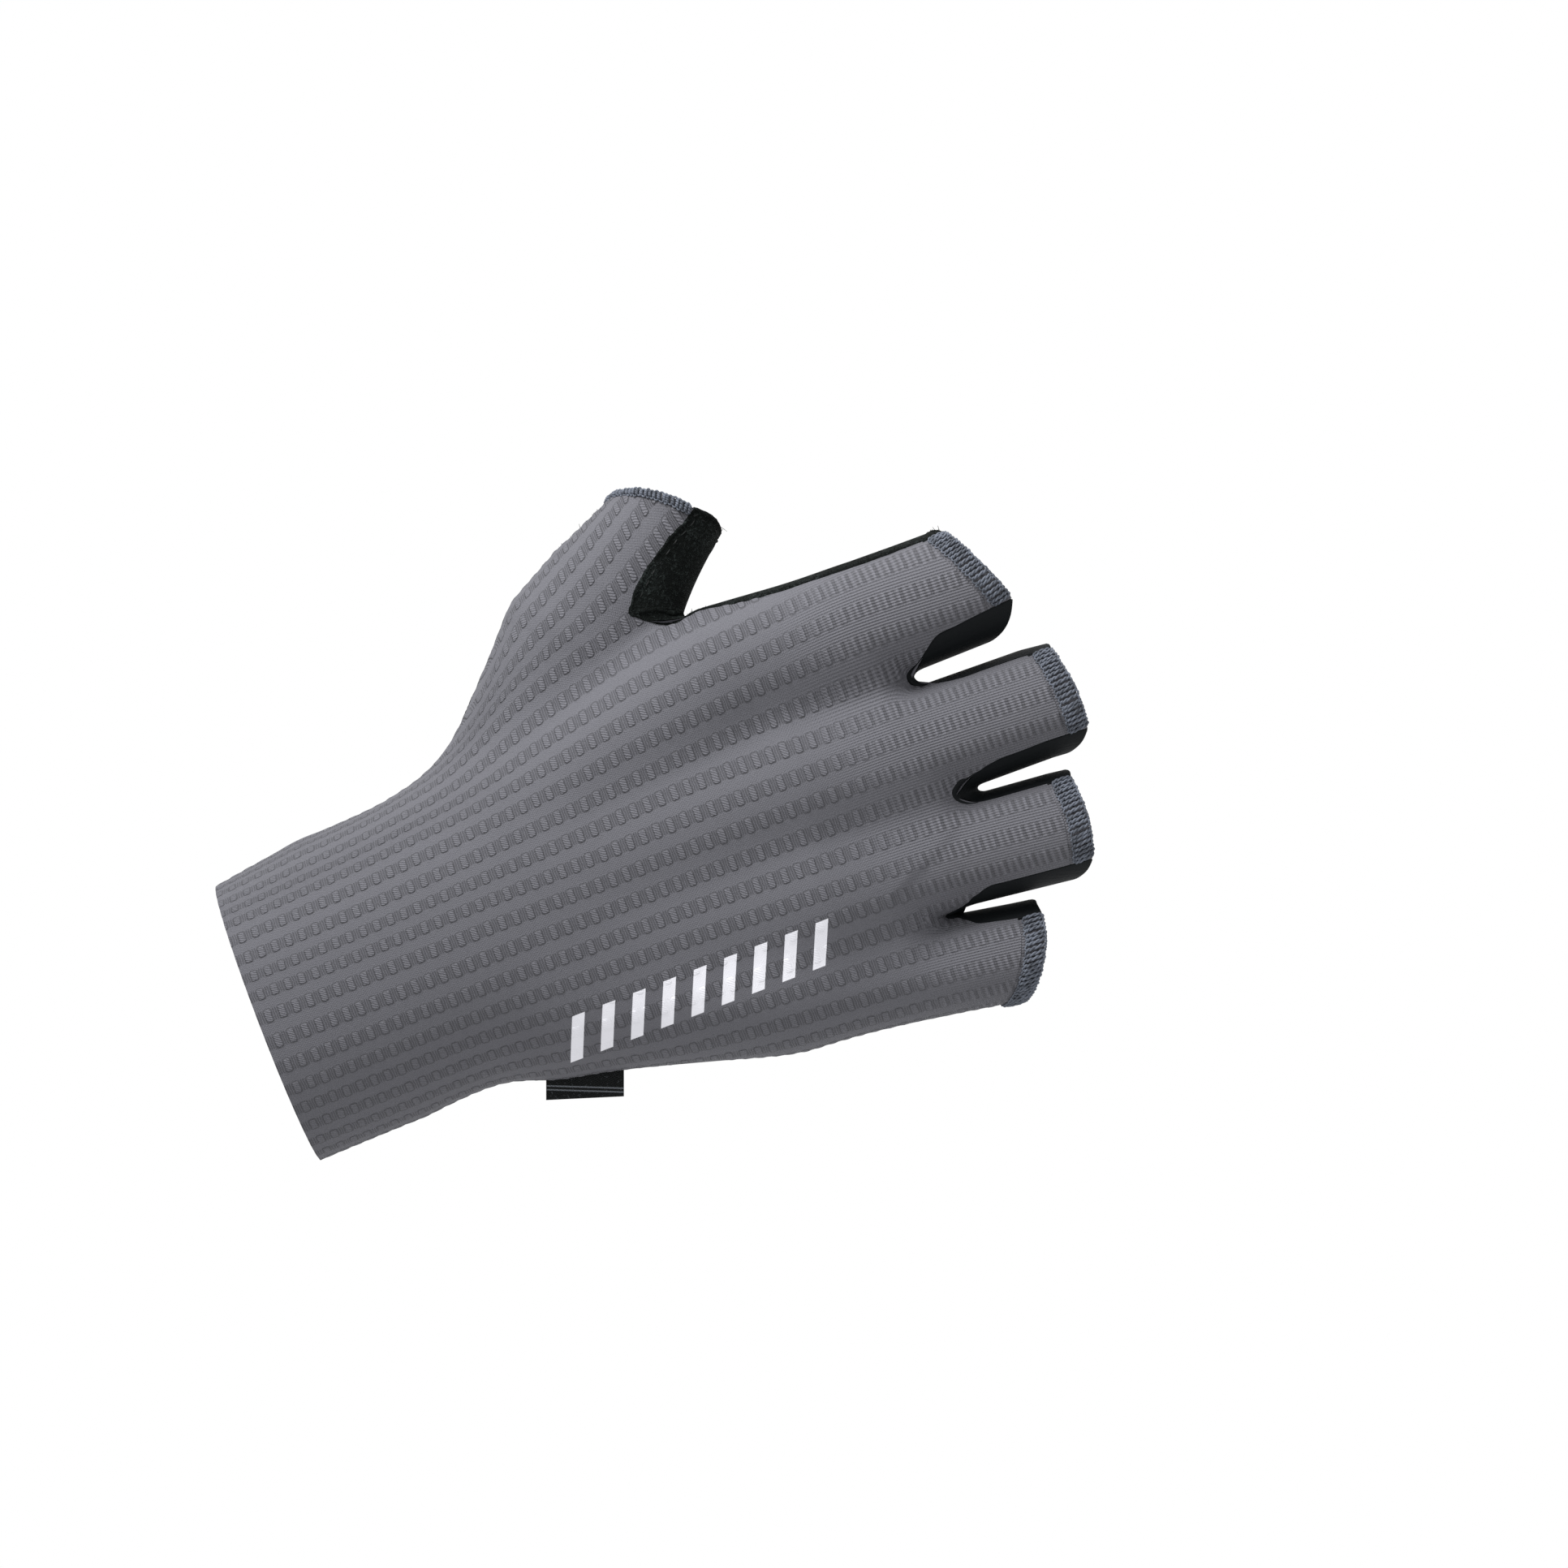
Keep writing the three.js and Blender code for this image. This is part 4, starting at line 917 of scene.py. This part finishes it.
def hem(node, name):
    """The thread wraps with the chain and the loops at their ends, and the cloth that they hold."""
    first, last = hem_lines(node, name)
    dense = np.linspace(0, len(first) - 1, 200)
    length = np.linalg.norm(np.diff(curve(last, dense), axis=0), axis=1).sum()
    count = int(length / (sizes().hem_pitch / MM))
    radius = sizes().hem_thread / MM
    rng = np.random.default_rng(SEED)
    heap = Heap()
    along = np.linspace(0, len(HEM_WRAP) - 1, WRAP_POINTS)
    share, height = (np.interp(along, np.arange(len(HEM_WRAP)), v) for v in np.array(HEM_WRAP).T)
    inner, edge = [], []
    for k in range(count):
        at = (k + 0.2 + 0.9 * share + rng.normal() * 0.12) / count * (len(first) - 1)
        path = lerp(curve(first, at), curve(last, at), share[:, None])
        path = settle(path, height + rng.normal() * 0.04)
        inner.append(path[WRAP_INNER])
        edge.append(path[WRAP_OUTER])
        run = unit(np.gradient(path, axis=0))
        side = unit(np.cross(run, unit(slope(path))))
        other = np.cross(side, run)
        twist = along / (len(HEM_WRAP) - 1) * 2 * np.pi * PLY_TURNS + rng.uniform(0, 6)
        for ply in (0, np.pi):
            coil = np.cos(twist + ply)[:, None] * side + np.sin(twist + ply)[:, None] * other
            heap.add(*tube(path + coil * radius * PLY_OFFSET, radius * PLY_RADIUS, 6))
    inner, edge = np.array(inner), np.array(edge)
    away = unit(np.mean(edge - inner, axis=0))
    for row, (reach, lift, thin) in ((inner, CHAIN), (edge, OUTER_LOOPS)):
        for one, other in zip(row[:-1], row[1:]):
            t = np.linspace(0, 1, 9)[:, None]
            bow = np.sin(np.pi * t)
            arc = lerp(one, other, t) + bow * away * reach * rng.uniform(0.6, 1.3)
            arc = arc + unit(slope(arc)) * lift * bow
            heap.add(*tube(arc, thin, 6))
    bed_first, bed_last = curve(first, dense[::5]), curve(last, dense[::5])
    shape = (len(bed_first), BED_ROWS)

    def sheet(level):
        shares = np.linspace(*BED_SHARES, BED_ROWS)
        grid = np.stack([lerp(bed_first, bed_last, t) for t in shares], 1)
        return settle(grid.reshape(-1, 3), np.tile(level(shares), shape[0]), rounds=3)

    over = sheet(lambda t: lerp(-0.12, 0, smooth(t, -0.05, 0.1)))  # its start is tucked under the back
    under = sheet(lambda t: np.full(len(t), -CLOTH))
    i, j = np.meshgrid(np.arange(shape[0] - 1), np.arange(shape[1] - 1), indexing="ij")
    at = (i * shape[1] + j).ravel()
    quads = np.stack([at, at + shape[1], at + shape[1] + 1, at + 1], 1).tolist()
    last_row = np.arange(1, shape[0]) * shape[1] - 1
    lip = np.stack([over[last_row], under[last_row]], 1).reshape(-1, 3)
    bed = Heap()
    bed.add(over, quads)
    bed.add(under, [q[::-1] for q in quads])
    bed.add(lip, [[2 * n, 2 * n + 2, 2 * n + 3, 2 * n + 1] for n in range(len(last_row) - 1)])
    return heap, bed


class MITT_OT_label(bpy.types.Operator):
    """Small woven side label, folded and sewn into the seam"""
    bl_idname = "mitt.label"
    bl_label = "Side label"

    def execute(self, context):
        p, triangles = cad_mesh("side_label")
        points, faces = refine(p + LABEL_SHIFT, triangles, 8)
        material = label_material(colours())
        piece("side_label_tab", points, faces.tolist(), material, "label_tape", ["side_label"])
        return {"FINISHED"}


def label_material(colours):
    """Damask-woven polyester tape: fine filament yarn, a slight satin light."""
    material, tree, shader = new_material("woven_tape", 0.6, 0.05, colours.label, 0.15)
    x, _, z = parts(tree, add(tree, "ShaderNodeTexCoord").outputs["Object"])
    # The real weave, about 0.2 mm, is drawn at 0.45 mm so that it shows
    weave = (x / MM).wave(0.45) * (z / MM).wave(0.45)
    specks = noise(tree, 2600, 1)
    relief(tree, shader, weave * 0.08 + specks * 0.1)
    up = (x / MM - LABEL_FOOT[0]) * LABEL_FOOT[2] + z / MM - LABEL_FOOT[1]
    low, high = ((up - line).size().step(0.2, 0.1) for line in LABEL_LINES)
    lines = low + high
    shade = lines * 0.75 + specks.step(0.12, 0.3) * 0.25
    tree.links.new(mix(tree, shade, linear(colours.label), linear(colours.label_line)),
                   shader.inputs["Base Color"])
    return material


class MITT_OT_stage(bpy.types.Operator):
    """White studio: a pale card below as the floor, a white surround, soft lights, and the camera"""
    bl_idname = "mitt.stage"
    bl_label = "Stage"

    def execute(self, context):
        scene = context.scene
        material = new_material("grey_card", 0.9, 0.0, "#e6e6e6")[0]
        mesh = bpy.data.meshes.new("floor")
        square = [(-1, -1), (1, -1), (1, 1), (-1, 1)]
        corners = [(x * FLOOR_HALF, y * FLOOR_HALF, FLOOR_LEVEL) for x, y in square]
        mesh.from_pydata(corners, [], [(0, 1, 2, 3)])
        floor = bpy.data.objects.new("floor", mesh)
        scene.collection.objects.link(floor)
        mesh.materials.append(material)
        world = bpy.data.worlds.new("studio")
        scene.world = world
        world.use_nodes = True
        world.node_tree.nodes["Background"].inputs[0].default_value = (1, 1, 1, 1)
        world.node_tree.nodes["Background"].inputs[1].default_value = 1.0
        to_camera = RIGHT.cross(UP)
        turn = Matrix((RIGHT, UP, to_camera)).transposed().to_4x4()
        for name, side, rise, towards, power, size in LIGHTS:
            light = bpy.data.lights.new(name, "AREA")
            light.energy, light.size = power, size
            lamp = bpy.data.objects.new(name, light)
            lamp.location = MIDDLE + RIGHT * side + UP * rise + to_camera * towards
            lamp.rotation_euler = (lamp.location - MIDDLE).to_track_quat("Z", "Y").to_euler()
            scene.collection.objects.link(lamp)
        camera = bpy.data.cameras.new("camera")
        camera.lens, camera.sensor_width = LENS, SENSOR
        camera.clip_start, camera.clip_end = 0.01, 50
        eye = bpy.data.objects.new("camera", camera)
        distance = sizes().view_width * LENS / SENSOR
        eye.matrix_world = Matrix.Translation(MIDDLE + to_camera * distance) @ turn
        scene.collection.objects.link(eye)
        scene.camera = eye
        scene.view_settings.view_transform = "Standard"
        return {"FINISHED"}


# The small pieces come before the cloths that they are sewn on
STEPS = [
    MITT_OT_stage, MITT_OT_stitches, MITT_OT_palm, MITT_OT_strips, MITT_OT_hems, MITT_OT_label,
    MITT_OT_back_cloth,
]


class MITT_PT_panel(bpy.types.Panel):
    """Lists the mitt's pieces in the order in which they are made"""
    bl_idname = "MITT_PT_panel"
    bl_label = "Mitt"
    bl_space_type = "VIEW_3D"
    bl_region_type = "UI"
    bl_category = "Mitt"

    def draw(self, context):
        for group in (context.scene.mitt_sizes, context.scene.mitt_colours):
            for key in group.__annotations__:
                self.layout.prop(group, key)
        for step in STEPS:
            self.layout.operator(step.bl_idname)


CLASSES = [MittSizes, MittColours, *STEPS, MITT_PT_panel]


def register():
    for cls in CLASSES:
        bpy.utils.register_class(cls)
    bpy.types.Scene.mitt_sizes = bpy.props.PointerProperty(type=MittSizes)
    bpy.types.Scene.mitt_colours = bpy.props.PointerProperty(type=MittColours)


def unregister():
    del bpy.types.Scene.mitt_colours
    del bpy.types.Scene.mitt_sizes
    for cls in reversed(CLASSES):
        bpy.utils.unregister_class(cls)


def main():
    register()
    bpy.ops.mitt.stage()
    bpy.ops.mitt.stitches()
    bpy.ops.mitt.suede()
    bpy.ops.mitt.strips()
    bpy.ops.mitt.hems()
    bpy.ops.mitt.label()
    bpy.ops.mitt.back_cloth()
    bpy.context.view_layer.update()


if __name__ == "__main__":
    main()
